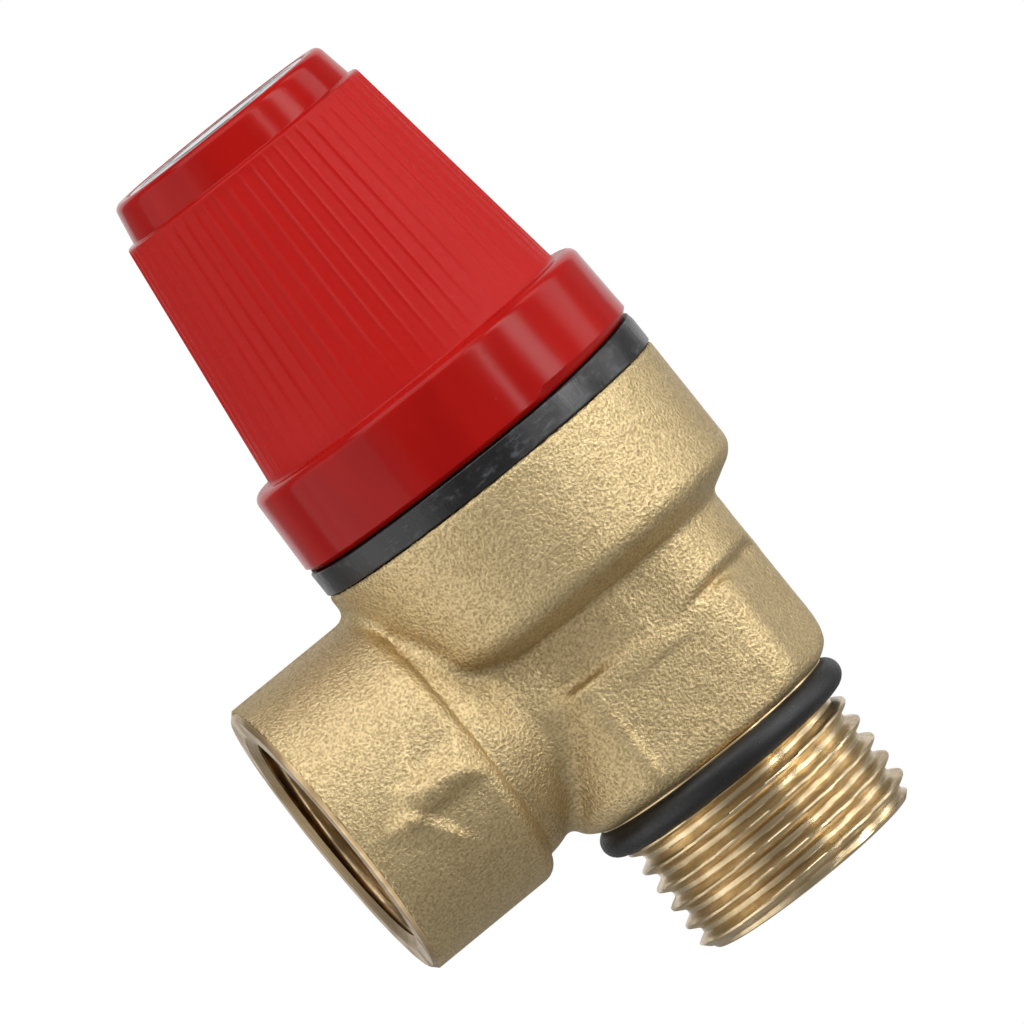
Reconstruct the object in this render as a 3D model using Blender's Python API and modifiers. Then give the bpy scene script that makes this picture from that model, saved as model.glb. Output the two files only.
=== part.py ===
"""Angle pattern pressure relief valve, G1/2 male inlet and G1/2 female outlet, with a test knob.

Frame: origin at the centre of the inlet's end face, +Z up the valve's main axis towards the knob,
the outlet points towards -X, and one of the two spanner flats faces -Y. Metres.

Moving groups:
- stem group (stem, seal, plates, screws): slides along +Z when pressure lifts the seal off its seat
- knob and badge: turn about +Z, and two cam ramps on the bonnet lift them as they turn
- knob washer: rises with the knob without turning, and carries the stem group up with it
"""

import math

import bmesh
import bpy

MM = 0.001

# Clearances
GAP = 0.3 * MM
CUT_PAST = 1.0 * MM
MERGE = 0.00001

# Facets round a full turn
BIG_FACETS = 48
SMALL_FACETS = 28

# G1/2 pipe thread
THREAD_MAJOR_R = 10.48 * MM
THREAD_MINOR_R = 9.32 * MM

# Inlet stub, from its end face at z = 0
STUB_HEIGHT = 12.7 * MM
STUB_CHAMFER = 0.9 * MM
GROOVE_R = 9.0 * MM
GROOVE_BOTTOM_Z = 9.7 * MM
INLET_BORE_R = 6.0 * MM

# Round base with two spanner flats, and the neck above it, wider away from the outlet
FOOT_R = 12.6 * MM
FOOT_ACROSS_FLATS = 22.0 * MM
FOOT_TOP_Z = 23.65 * MM
FOOT_EDGE_ROUND = 1.1 * MM
NECK_R = 12.65 * MM
NECK_HALF_WIDTH = 11.15 * MM
NECK_TOP_Z = 29.2 * MM
CORE_R = 11.05 * MM

# Bowl, the wide cup that takes the diaphragm and the bonnet
BOWL_R = 16.05 * MM
BOWL_TOP_Z = 40.5 * MM
BOWL_ROUND_R = 2.5 * MM
BOWL_UNDER_Z = 28.4 * MM
BOWL_BORE_R = 13.6 * MM
LEDGE_Z = 31.0 * MM

# Chamber and seat
CHAMBER_R = 9.2 * MM
CHAMBER_FLOOR_Z = 18.2 * MM
SEAT_LIP_R = 7.5 * MM
SEAT_Z = 20.2 * MM

# Outlet branch, turned about an axis along -X
OUTLET_Z = 25.6 * MM
OUTLET_REACH = 28.2 * MM
OUTLET_BOSS_R = 12.85 * MM
OUTLET_BOSS_BACK = 15.5 * MM
OUTLET_NECK_R = 10.8 * MM
OUTLET_THREAD_END = 16.4 * MM
OUTLET_PORT_R = 4.8 * MM
MOUTH_SINK_R = 10.7 * MM

# Sealing ring under the base
RING_SECTION_R = 1.2 * MM
RING_CENTRE_R = 10.6 * MM

# Stem group
DISC_R = 7.9 * MM
DISC_THICKNESS = 2.2 * MM
HOLDER_R = 8.5 * MM
HOLDER_TOP_Z = 25.0 * MM
STEM_HUB_R = 4.6 * MM
STEM_HUB_TOP_Z = 29.0 * MM
STEM_WAIST_R = 3.2 * MM
STEM_R = 2.5 * MM
STEM_TOP_Z = 69.7 * MM
ROD_CLEARANCE = 0.4 * MM
SCREW_HOLE_R = 1.8 * MM
SCREW_SHANK_R = 1.5 * MM
PLATE_R = 7.2 * MM
PLATE_Z = 32.1 * MM
PLATE_TOP_Z = 33.9 * MM

# Diaphragm
DIAPHRAGM_R = 13.2 * MM
DIAPHRAGM_THICKNESS = 1.2 * MM
FOLD_INNER_R = 6.5 * MM
FOLD_OUTER_R = 9.4 * MM

# Bonnet: the black flange and the tower inside the knob
SKIRT_R = BOWL_BORE_R - GAP
SKIRT_BORE_R = 10.4 * MM
SKIRT_BOTTOM_Z = 34.3 * MM
FLANGE_R = 16.1 * MM
FLANGE_TOP_Z = 42.7 * MM
REGISTER_R = 13.6 * MM
REGISTER_TOP_Z = 45.5 * MM
TOWER_R = 9.0 * MM
TOWER_BORE_R = 7.4 * MM
TOWER_TOP_Z = 65.4 * MM

# Cam: two ramps on the flange, two notches in the knob's rim
CAM_RISE = 0.65 * MM
CAM_STARTS_DEG = (-75.0, 75.0)
CAM_SPAN_DEG = 90.0
CAM_STEPS = 18

# Spring
SPRING_WIRE_R = 1.1 * MM
SPRING_MEAN_R = 5.7 * MM
SPRING_ACTIVE_TURNS = 4
SPRING_TOP_Z = 56.7 * MM
POINTS_PER_TURN = 16
UPPER_SEAT_THICKNESS = 1.2 * MM

# Knob
RIM_Z = FLANGE_TOP_Z + GAP
COLLAR_BOTTOM_R = 16.2 * MM
COLLAR_TOP_R = 16.0 * MM
COLLAR_BORE_R = 14.0 * MM
SHOULDER_Z = 48.8 * MM
COLLAR_ROUND = 1.5 * MM
RIB_BOTTOM_Z = 50.4 * MM
RIB_TOP_Z = 71.65 * MM
RIB_BOTTOM_R = 14.2 * MM
RIB_TOP_R = 11.4 * MM
RIB_COUNT = 60
RIB_DEPTH = 0.25 * MM
CAP_BASE_R = 10.7 * MM
CAP_TOP_R = 10.2 * MM
CAP_TOP_Z = 74.9 * MM
CAP_ROUND = 1.2 * MM
BADGE_R = 8.6 * MM
BADGE_THICKNESS = 0.8 * MM
KNOB_WALL = 2.0 * MM
CEILING_Z = 70.7 * MM
HUB_R = 6.6 * MM
HUB_BOTTOM_Z = 66.3 * MM
WELL_FLOOR_Z = 68.6 * MM
WELL_R = 4.8 * MM
WASHER_THICKNESS = 0.8 * MM

COLLECTION_NAME = "pressure_relief_valve"

BRASS = ("brass", (0.62, 0.46, 0.20), 0.38, 1.0)
STEEL = ("steel", (0.60, 0.61, 0.62), 0.32, 1.0)
SPRING_STEEL = ("spring_steel", (0.36, 0.37, 0.39), 0.35, 1.0)
RUBBER = ("rubber", (0.02, 0.02, 0.022), 0.75, 0.0)
BLACK_NYLON = ("black_nylon", (0.022, 0.024, 0.028), 0.42, 0.0)
RED_PLASTIC = ("red_plastic", (0.48, 0.018, 0.018), 0.30, 0.0)
SILVER_LABEL = ("silver_label", (0.55, 0.56, 0.58), 0.30, 0.6)


def clear_scene():
    """Remove whatever the opened file holds."""
    for item in list(bpy.data.objects):
        bpy.data.objects.remove(item, do_unlink=True)
    for group in list(bpy.data.collections):
        bpy.data.collections.remove(group)


def new_collection(name):
    """Add a collection under the scene's own."""
    group = bpy.data.collections.new(name)
    bpy.context.scene.collection.children.link(group)
    return group


def material_from(finish):
    """The Principled material of a finish, made on first use."""
    name, colour, roughness, metallic = finish
    if name in bpy.data.materials:
        return bpy.data.materials[name]
    material = bpy.data.materials.new(name)
    material.use_nodes = True
    shader = material.node_tree.nodes["Principled BSDF"]
    shader.inputs["Base Color"].default_value = (*colour, 1.0)
    shader.inputs["Roughness"].default_value = roughness
    shader.inputs["Metallic"].default_value = metallic
    return material


def add_object(name, mesh, group, finish=None):
    """Link a mesh as an object; without a finish it is a cutter."""
    item = bpy.data.objects.new(name, mesh)
    group.objects.link(item)
    if finish is None:
        item.hide_render = True
        item.display_type = "WIRE"
    else:
        mesh.materials.append(material_from(finish))
    return item


def shade(item):
    """Smooth shading that keeps the edges of turned steps sharp."""
    item.data.shade_smooth()
    item.data.set_sharp_from_angle(angle=math.radians(35.0))
    return item


def turned(name, profile, group, finish=None, facets=BIG_FACETS, ring=False):
    """Turn a profile of (radius, height) points about Z.

    A solid's profile runs from the axis at its top, down its outer side, to the axis at its bottom.
    A ring's profile is a closed loop: down the outer side, then up the inner side.
    """
    count = len(profile)
    points = [(radius, 0.0, height) for radius, height in profile]
    edges = [(i, i + 1) for i in range(count - 1)]
    if ring:
        edges.append((count - 1, 0))
    mesh = bpy.data.meshes.new(name)
    mesh.from_pydata(points, edges, [])
    item = add_object(name, mesh, group, finish)
    screw = item.modifiers.new("turn", "SCREW")
    screw.axis = "Z"
    screw.steps = facets
    screw.render_steps = facets
    screw.use_merge_vertices = True
    screw.merge_threshold = MERGE
    screw.use_smooth_shade = True
    return item


def arc(centre_r, centre_z, radius, start_deg, end_deg, steps):
    """Points of an arc in the (radius, height) plane, both ends included."""
    angles = [start_deg + (end_deg - start_deg) * i / steps for i in range(steps + 1)]
    return [
        (
            centre_r + radius * math.cos(math.radians(angle)),
            centre_z + radius * math.sin(math.radians(angle)),
        )
        for angle in angles
    ]


def washer_profile(bore_r, outer_r, bottom_z, top_z):
    """Closed loop of a flat washer."""
    return [(outer_r, top_z), (outer_r, bottom_z), (bore_r, bottom_z), (bore_r, top_z)]


def combine(item, other, operation):
    """Join to, cut by or keep the overlap with another object."""
    boolean = item.modifiers.new(f"{operation.lower()}_{other.name}", "BOOLEAN")
    boolean.operation = operation
    boolean.object = other
    boolean.solver = "EXACT"
    return item


def face_outwards(item):
    """Point an outlet piece, modelled along +Z, along -X at the outlet's height."""
    item.location = (0.0, 0.0, OUTLET_Z)
    item.rotation_euler = (0.0, -math.pi / 2.0, 0.0)
    return item


def box_cutter(name, cutters, size, centre):
    """A box that only cuts."""
    mesh = bpy.data.meshes.new(name)
    shape = bmesh.new()
    bmesh.ops.create_cube(shape, size=1.0)
    bmesh.ops.scale(shape, verts=shape.verts, vec=size)
    bmesh.ops.translate(shape, verts=shape.verts, vec=centre)
    shape.to_mesh(mesh)
    shape.free()
    return add_object(name, mesh, cutters)


def ring_sector(name, group, radii, bottom_z, top_heights, start_deg):
    """A block bent round Z over the cam's span, whose top runs between two heights."""
    inner_r, outer_r = radii
    start_top, end_top = top_heights
    mesh = bpy.data.meshes.new(name)
    shape = bmesh.new()
    sections = []
    for step in range(CAM_STEPS + 1):
        share = step / CAM_STEPS
        angle = math.radians(start_deg + CAM_SPAN_DEG * share)
        top = start_top + (end_top - start_top) * share
        corners = ((outer_r, bottom_z), (outer_r, top), (inner_r, top), (inner_r, bottom_z))
        points = [(r * math.cos(angle), r * math.sin(angle), z) for r, z in corners]
        sections.append([shape.verts.new(point) for point in points])
    for first, second in zip(sections, sections[1:]):
        for i in range(4):
            j = (i + 1) % 4
            shape.faces.new((first[i], second[i], second[j], first[j]))
    shape.faces.new(sections[0])
    shape.faces.new(list(reversed(sections[-1])))
    bmesh.ops.recalc_face_normals(shape, faces=shape.faces)
    shape.to_mesh(mesh)
    shape.free()
    return add_object(name, mesh, group)


def body_core(group):
    """Inlet stub, its relief groove, and the bowl."""
    profile = [(0.0, BOWL_TOP_Z), (BOWL_R, BOWL_TOP_Z)]
    profile += arc(
        BOWL_R - BOWL_ROUND_R, BOWL_UNDER_Z + BOWL_ROUND_R, BOWL_ROUND_R, 0.0, -90.0, 5
    )
    profile += [
        (CORE_R, BOWL_UNDER_Z - 0.5 * MM),
        (CORE_R, STUB_HEIGHT + CUT_PAST),
        (GROOVE_R, STUB_HEIGHT + CUT_PAST),
        (GROOVE_R, GROOVE_BOTTOM_Z + GAP),
        (THREAD_MAJOR_R - STUB_CHAMFER, GROOVE_BOTTOM_Z),
        (THREAD_MAJOR_R, GROOVE_BOTTOM_Z - STUB_CHAMFER),
        (THREAD_MAJOR_R, STUB_CHAMFER),
        (THREAD_MAJOR_R - STUB_CHAMFER, 0.0),
        (0.0, 0.0),
    ]
    return turned("valve_body", profile, group, BRASS)


def foot_form(cutters):
    """The base: a rounded cylinder with two spanner flats square to Y."""
    bottom_z = STUB_HEIGHT
    rounded_r = FOOT_R - FOOT_EDGE_ROUND
    profile = [(0.0, FOOT_TOP_Z)]
    profile += arc(rounded_r, FOOT_TOP_Z - FOOT_EDGE_ROUND, FOOT_EDGE_ROUND, 90.0, 0.0, 3)
    profile += arc(rounded_r, bottom_z + FOOT_EDGE_ROUND, FOOT_EDGE_ROUND, 0.0, -90.0, 3)
    profile += [(0.0, bottom_z)]
    size = (4.0 * FOOT_R, FOOT_ACROSS_FLATS, 4.0 * FOOT_R)
    flats = box_cutter("foot_flats", cutters, size, (0.0, 0.0, bottom_z))
    return combine(turned("foot_form", profile, cutters), flats, "INTERSECT")


def neck_form(cutters):
    """The neck's wide side: half a cylinder, flattened on the two sides that face Y."""
    bottom_z = FOOT_TOP_Z - FOOT_EDGE_ROUND
    size = (2.0 * NECK_R, 2.0 * NECK_HALF_WIDTH, 4.0 * NECK_R)
    wide_side = box_cutter("neck_flats", cutters, size, (NECK_R, 0.0, bottom_z))
    profile = [(0.0, NECK_TOP_Z), (NECK_R, NECK_TOP_Z), (NECK_R, bottom_z), (0.0, bottom_z)]
    return combine(turned("neck_form", profile, cutters), wide_side, "INTERSECT")


def outlet_form(cutters):
    """Outside of the outlet branch: the threaded boss and the narrower neck behind it."""
    edge = 0.5 * MM
    step = OUTLET_BOSS_R - OUTLET_NECK_R
    neck_start = 5.0 * MM
    profile = [
        (0.0, OUTLET_REACH),
        (OUTLET_BOSS_R - edge, OUTLET_REACH),
        (OUTLET_BOSS_R, OUTLET_REACH - edge),
    ]
    profile += arc(OUTLET_NECK_R, OUTLET_BOSS_BACK + step, step, 0.0, -90.0, 3)
    profile += [(OUTLET_NECK_R, neck_start), (0.0, neck_start)]
    return face_outwards(turned("outlet_form", profile, cutters))


def chamber_form(cutters):
    """Everything bored along the main axis: inlet, seat, chamber and the bowl's inside."""
    profile = [
        (0.0, BOWL_TOP_Z + CUT_PAST),
        (BOWL_BORE_R, BOWL_TOP_Z + CUT_PAST),
        (BOWL_BORE_R, LEDGE_Z),
        (CHAMBER_R, LEDGE_Z),
        (CHAMBER_R, CHAMBER_FLOOR_Z),
        (SEAT_LIP_R, CHAMBER_FLOOR_Z),
        (SEAT_LIP_R, SEAT_Z),
        (INLET_BORE_R, SEAT_Z),
        (INLET_BORE_R, -CUT_PAST),
        (0.0, -CUT_PAST),
    ]
    return turned("chamber_form", profile, cutters)


def outlet_bore_form(cutters):
    """Everything bored along the outlet: countersink, thread's inner diameter and port."""
    sink_depth = MOUTH_SINK_R - THREAD_MINOR_R
    drill_cone = 2.2 * MM
    port_end = CHAMBER_R - 3.0 * MM
    profile = [
        (0.0, OUTLET_REACH + CUT_PAST),
        (MOUTH_SINK_R + CUT_PAST, OUTLET_REACH + CUT_PAST),
        (THREAD_MINOR_R, OUTLET_REACH - sink_depth),
        (THREAD_MINOR_R, OUTLET_THREAD_END),
        (OUTLET_PORT_R, OUTLET_THREAD_END - drill_cone),
        (OUTLET_PORT_R, port_end),
        (0.0, port_end),
    ]
    return face_outwards(turned("outlet_bore_form", profile, cutters))


def make_valve_body(parts, cutters):
    """Forged brass body with its seat, machined inside."""
    body = body_core(parts)
    for form in (foot_form, neck_form, outlet_form):
        combine(body, form(cutters), "UNION")
    for form in (chamber_form, outlet_bore_form):
        combine(body, form(cutters), "DIFFERENCE")
    return shade(body)


def make_inlet_ring(parts):
    """Round-section sealing ring in the groove under the base."""
    height = STUB_HEIGHT - GAP - RING_SECTION_R
    section = arc(RING_CENTRE_R, height, RING_SECTION_R, 90.0, -240.0, 11)
    return turned("inlet_sealing_ring", section, parts, RUBBER, ring=True)


def make_seal_disc(parts):
    """Rubber disc that closes the seat."""
    bottom = SEAT_Z + GAP
    profile = washer_profile(SCREW_HOLE_R, DISC_R, bottom, bottom + DISC_THICKNESS)
    return turned("seal_disc", profile, parts, RUBBER, SMALL_FACETS, ring=True)


def make_disc_washer(parts):
    """Washer between the seal disc and its screw."""
    profile = washer_profile(SCREW_HOLE_R, 3.6 * MM, SEAT_Z - WASHER_THICKNESS, SEAT_Z)
    return turned("disc_washer", profile, parts, STEEL, SMALL_FACETS, ring=True)


def make_disc_screw(parts):
    """Screw that holds the seal disc on, entered from the inlet side."""
    head_top = SEAT_Z - WASHER_THICKNESS - GAP
    head_bottom = head_top - 1.8 * MM
    head_r = 2.7 * MM
    profile = [
        (0.0, STEM_HUB_TOP_Z),
        (SCREW_SHANK_R, STEM_HUB_TOP_Z),
        (SCREW_SHANK_R, head_top),
        (head_r, head_top),
        (head_r, head_bottom + 0.5 * MM),
        (head_r - 0.7 * MM, head_bottom),
        (0.0, head_bottom),
    ]
    return turned("disc_screw", profile, parts, STEEL, SMALL_FACETS)


def make_disc_holder(parts):
    """Brass cup that backs and surrounds the seal disc."""
    recess_top = SEAT_Z + DISC_THICKNESS + 2.0 * GAP
    skirt_bottom = SEAT_Z + 0.8 * MM
    profile = [
        (HOLDER_R, HOLDER_TOP_Z),
        (HOLDER_R, skirt_bottom),
        (DISC_R + GAP, skirt_bottom),
        (DISC_R + GAP, recess_top),
        (SCREW_HOLE_R, recess_top),
        (SCREW_HOLE_R, HOLDER_TOP_Z),
    ]
    return turned("disc_holder", profile, parts, BRASS, SMALL_FACETS, ring=True)


def make_stem(parts):
    """Brass stem: hub over the disc holder, waist through the diaphragm, rod up to the knob."""
    shoulder_z = PLATE_TOP_Z + 1.0 * MM
    lower_hole_top = STEM_HUB_TOP_Z + 1.5 * MM
    upper_hole_bottom = STEM_TOP_Z - 8.0 * MM
    profile = [
        (0.0, upper_hole_bottom),
        (SCREW_HOLE_R, upper_hole_bottom),
        (SCREW_HOLE_R, STEM_TOP_Z),
        (STEM_R, STEM_TOP_Z),
        (STEM_R, shoulder_z + 0.7 * MM),
        (STEM_WAIST_R, shoulder_z),
        (STEM_WAIST_R, STEM_HUB_TOP_Z),
        (STEM_HUB_R, STEM_HUB_TOP_Z),
        (STEM_HUB_R, HOLDER_TOP_Z + GAP),
        (SCREW_HOLE_R, HOLDER_TOP_Z + GAP),
        (SCREW_HOLE_R, lower_hole_top),
        (0.0, lower_hole_top),
    ]
    return turned("stem", profile, parts, BRASS, SMALL_FACETS)


def make_diaphragm_washer(parts):
    """Brass washer under the middle of the diaphragm."""
    bottom = STEM_HUB_TOP_Z + GAP
    profile = washer_profile(STEM_WAIST_R + GAP, FOLD_INNER_R, bottom, bottom + 1.0 * MM)
    return turned("diaphragm_washer", profile, parts, BRASS, SMALL_FACETS, ring=True)


def make_diaphragm(parts):
    """Rubber diaphragm: rim on the bowl's ledge, one shallow fold, middle round the stem."""
    rim_bottom = LEDGE_Z + GAP
    middle_bottom = STEM_HUB_TOP_Z + 1.0 * MM + 2.0 * GAP
    profile = [
        (DIAPHRAGM_R, rim_bottom + DIAPHRAGM_THICKNESS),
        (DIAPHRAGM_R, rim_bottom),
        (FOLD_OUTER_R, rim_bottom),
        (FOLD_INNER_R, middle_bottom),
        (STEM_WAIST_R + GAP, middle_bottom),
        (STEM_WAIST_R + GAP, middle_bottom + DIAPHRAGM_THICKNESS),
        (FOLD_INNER_R, middle_bottom + DIAPHRAGM_THICKNESS),
        (FOLD_OUTER_R, rim_bottom + DIAPHRAGM_THICKNESS),
    ]
    return turned("diaphragm", profile, parts, RUBBER, SMALL_FACETS, ring=True)


def make_slip_ring(parts):
    """Brass ring that lets the bonnet press the diaphragm's rim without twisting it."""
    bottom = LEDGE_Z + DIAPHRAGM_THICKNESS + 2.0 * GAP
    profile = washer_profile(SKIRT_BORE_R, DIAPHRAGM_R, bottom, SKIRT_BOTTOM_Z - GAP)
    return turned("slip_ring", profile, parts, BRASS, SMALL_FACETS, ring=True)


def make_spring_plate(parts):
    """Plate above the diaphragm, with a boss that centres the spring."""
    bore_r = STEM_WAIST_R + GAP
    boss_r = SPRING_MEAN_R - SPRING_WIRE_R - 0.4 * MM
    boss_top = PLATE_TOP_Z + 0.7 * MM
    profile = [
        (boss_r, boss_top),
        (boss_r, PLATE_TOP_Z),
        (PLATE_R, PLATE_TOP_Z),
        (PLATE_R, PLATE_Z),
        (bore_r, PLATE_Z),
        (bore_r, boss_top),
    ]
    return turned("spring_plate", profile, parts, BRASS, SMALL_FACETS, ring=True)


def spring_point(share, bottom, top):
    """Centreline point: one closed turn at each end and evenly open turns between."""
    turn = share * (SPRING_ACTIVE_TURNS + 2)
    closed_pitch = 2.0 * SPRING_WIRE_R * 1.08
    open_pitch = (top - bottom - 2.0 * closed_pitch) / SPRING_ACTIVE_TURNS
    first = min(turn, 1.0) * closed_pitch
    middle = min(max(turn - 1.0, 0.0), SPRING_ACTIVE_TURNS) * open_pitch
    last = max(turn - 1.0 - SPRING_ACTIVE_TURNS, 0.0) * closed_pitch
    angle = 2.0 * math.pi * turn
    return (
        SPRING_MEAN_R * math.cos(angle),
        SPRING_MEAN_R * math.sin(angle),
        bottom + first + middle + last,
    )


def make_spring(parts):
    """Steel compression spring between the two plates."""
    bottom = PLATE_TOP_Z + GAP + SPRING_WIRE_R
    top = SPRING_TOP_Z - SPRING_WIRE_R
    count = (SPRING_ACTIVE_TURNS + 2) * POINTS_PER_TURN
    curve = bpy.data.curves.new("spring", "CURVE")
    curve.dimensions = "3D"
    curve.bevel_depth = SPRING_WIRE_R
    curve.bevel_resolution = 2
    curve.use_fill_caps = True
    spline = curve.splines.new("POLY")
    spline.points.add(count)
    for index, point in enumerate(spline.points):
        point.co = (*spring_point(index / count, bottom, top), 1.0)
    curve.materials.append(material_from(SPRING_STEEL))
    item = bpy.data.objects.new("spring", curve)
    parts.objects.link(item)
    return item


def make_upper_seat(parts):
    """Steel washer on top of the spring."""
    bottom = SPRING_TOP_Z + GAP
    top = bottom + UPPER_SEAT_THICKNESS
    profile = washer_profile(STEM_R + ROD_CLEARANCE, TOWER_BORE_R - GAP, bottom, top)
    return turned("upper_spring_seat", profile, parts, STEEL, SMALL_FACETS, ring=True)


def make_adjusting_nut(parts, cutters):
    """Brass nut in the tower's top that sets the spring's load, with a slot for its key."""
    bottom = SPRING_TOP_Z + UPPER_SEAT_THICKNESS + 2.0 * GAP
    top = bottom + 6.0 * MM
    slot_depth = 1.5 * MM
    profile = washer_profile(STEM_R + ROD_CLEARANCE, TOWER_BORE_R - GAP, bottom, top)
    nut = turned("adjusting_nut", profile, parts, BRASS, SMALL_FACETS, ring=True)
    size = (2.0 * TOWER_R, 1.6 * MM, 2.0 * slot_depth)
    return combine(nut, box_cutter("nut_slot", cutters, size, (0.0, 0.0, top)), "DIFFERENCE")


def make_bonnet(parts, cutters):
    """Black nylon bonnet: skirt in the bowl, visible flange with its ramps, tower in the knob."""
    flange_bottom = BOWL_TOP_Z + GAP
    edge = 0.25 * MM
    profile = [
        (TOWER_R - 0.5 * MM, TOWER_TOP_Z),
        (TOWER_R, TOWER_TOP_Z - 0.5 * MM),
        (TOWER_R, REGISTER_TOP_Z + 1.6 * MM),
        (REGISTER_R - 1.2 * MM, REGISTER_TOP_Z),
        (REGISTER_R, REGISTER_TOP_Z - 0.6 * MM),
        (REGISTER_R, FLANGE_TOP_Z),
        (FLANGE_R - edge, FLANGE_TOP_Z),
        (FLANGE_R, FLANGE_TOP_Z - edge),
        (FLANGE_R, flange_bottom + edge),
        (FLANGE_R - edge, flange_bottom),
        (SKIRT_R, flange_bottom),
        (SKIRT_R, SKIRT_BOTTOM_Z),
        (SKIRT_BORE_R, SKIRT_BOTTOM_Z),
        (SKIRT_BORE_R, FLANGE_TOP_Z - 1.2 * MM),
        (TOWER_BORE_R, FLANGE_TOP_Z + 1.8 * MM),
        (TOWER_BORE_R, TOWER_TOP_Z),
    ]
    bonnet = turned("bonnet", profile, parts, BLACK_NYLON, ring=True)
    sunk = 0.02 * MM
    for index, start in enumerate(CAM_STARTS_DEG):
        ramp = ring_sector(
            f"cam_ramp_{index + 1}",
            cutters,
            (COLLAR_BORE_R + GAP, FLANGE_R - edge),
            FLANGE_TOP_Z - 0.8 * MM,
            (FLANGE_TOP_Z - sunk, FLANGE_TOP_Z + CAM_RISE - sunk),
            start,
        )
        combine(bonnet, ramp, "UNION")
    return shade(bonnet)


def ribbed_cone(cutters):
    """The knob's grip: a cone whose outline carries fine vertical ribs."""
    mesh = bpy.data.meshes.new("ribbed_cone")
    shape = bmesh.new()
    depths = (0.0, 0.0, RIB_DEPTH, RIB_DEPTH)
    count = RIB_COUNT * len(depths)
    rings = []
    for height, radius in ((RIB_BOTTOM_Z - CUT_PAST, RIB_BOTTOM_R), (RIB_TOP_Z, RIB_TOP_R)):
        ring = []
        for index in range(count):
            angle = 2.0 * math.pi * index / count
            r = radius - depths[index % len(depths)]
            ring.append(shape.verts.new((r * math.cos(angle), r * math.sin(angle), height)))
        rings.append(ring)
    low, high = rings
    for index in range(count):
        after = (index + 1) % count
        shape.faces.new((low[index], low[after], high[after], high[index]))
    shape.faces.new(high)
    shape.faces.new(list(reversed(low)))
    shape.to_mesh(mesh)
    shape.free()
    return add_object("ribbed_cone", mesh, cutters)


def knob_cavity(cutters):
    """Inside of the knob: collar bore, cone, and the room round the central hub."""
    cone_slope = (RIB_BOTTOM_R - RIB_TOP_R) / (RIB_TOP_Z - RIB_BOTTOM_Z)
    ceiling_r = RIB_BOTTOM_R - KNOB_WALL - cone_slope * (CEILING_Z - RIB_BOTTOM_Z)
    profile = [
        (0.0, HUB_BOTTOM_Z),
        (HUB_R, HUB_BOTTOM_Z),
        (HUB_R, CEILING_Z),
        (ceiling_r, CEILING_Z),
        (RIB_BOTTOM_R - KNOB_WALL, RIB_BOTTOM_Z),
        (COLLAR_BORE_R, SHOULDER_Z - 0.6 * MM),
        (COLLAR_BORE_R, RIM_Z - CUT_PAST),
        (0.0, RIM_Z - CUT_PAST),
    ]
    return turned("knob_cavity", profile, cutters)


def knob_well(cutters):
    """Badge recess, screw well and stem hole, bored from the top."""
    badge_floor = CAP_TOP_Z - BADGE_THICKNESS - GAP
    profile = [
        (0.0, CAP_TOP_Z + CUT_PAST),
        (BADGE_R + GAP, CAP_TOP_Z + CUT_PAST),
        (BADGE_R + GAP, badge_floor),
        (WELL_R, badge_floor),
        (WELL_R, WELL_FLOOR_Z),
        (STEM_R + ROD_CLEARANCE, WELL_FLOOR_Z),
        (STEM_R + ROD_CLEARANCE, HUB_BOTTOM_Z - CUT_PAST),
        (0.0, HUB_BOTTOM_Z - CUT_PAST),
    ]
    return turned("knob_well", profile, cutters)


def make_knob(parts, cutters):
    """Red test knob: cap, ribbed grip and collar, with notches in its rim for the cam ramps."""
    profile = [(0.0, CAP_TOP_Z)]
    profile += arc(CAP_TOP_R - CAP_ROUND, CAP_TOP_Z - CAP_ROUND, CAP_ROUND, 90.0, 0.0, 4)
    profile += [(CAP_BASE_R, RIB_TOP_Z - 0.2 * MM), (CAP_BASE_R, RIB_BOTTOM_Z)]
    profile += arc(COLLAR_TOP_R - COLLAR_ROUND, SHOULDER_Z, COLLAR_ROUND, 90.0, 0.0, 4)
    profile += [(COLLAR_BOTTOM_R, RIM_Z), (0.0, RIM_Z)]
    knob = turned("knob", profile, parts, RED_PLASTIC)
    combine(knob, ribbed_cone(cutters), "UNION")
    combine(knob, knob_cavity(cutters), "DIFFERENCE")
    combine(knob, knob_well(cutters), "DIFFERENCE")
    notch_top = RIM_Z + CAM_RISE
    for index, start in enumerate(CAM_STARTS_DEG):
        notch = ring_sector(
            f"rim_notch_{index + 1}",
            cutters,
            (COLLAR_BORE_R - CUT_PAST, COLLAR_BOTTOM_R + CUT_PAST),
            RIM_Z - CUT_PAST,
            (notch_top, notch_top),
            start,
        )
        combine(knob, notch, "DIFFERENCE")
    return shade(knob)


def make_badge(parts):
    """Plain disc pressed into the knob's top, over the screw."""
    bottom = CAP_TOP_Z - BADGE_THICKNESS
    profile = [(0.0, CAP_TOP_Z), (BADGE_R, CAP_TOP_Z), (BADGE_R, bottom), (0.0, bottom)]
    return turned("knob_badge", profile, parts, SILVER_LABEL, SMALL_FACETS)


def make_knob_washer(parts):
    """Thrust washer in the knob's well: the knob lifts it, and it lifts the stem's screw."""
    bottom = WELL_FLOOR_Z + GAP
    profile = washer_profile(STEM_R + GAP, WELL_R - GAP, bottom, bottom + WASHER_THICKNESS)
    return turned("knob_washer", profile, parts, STEEL, SMALL_FACETS, ring=True)


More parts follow.
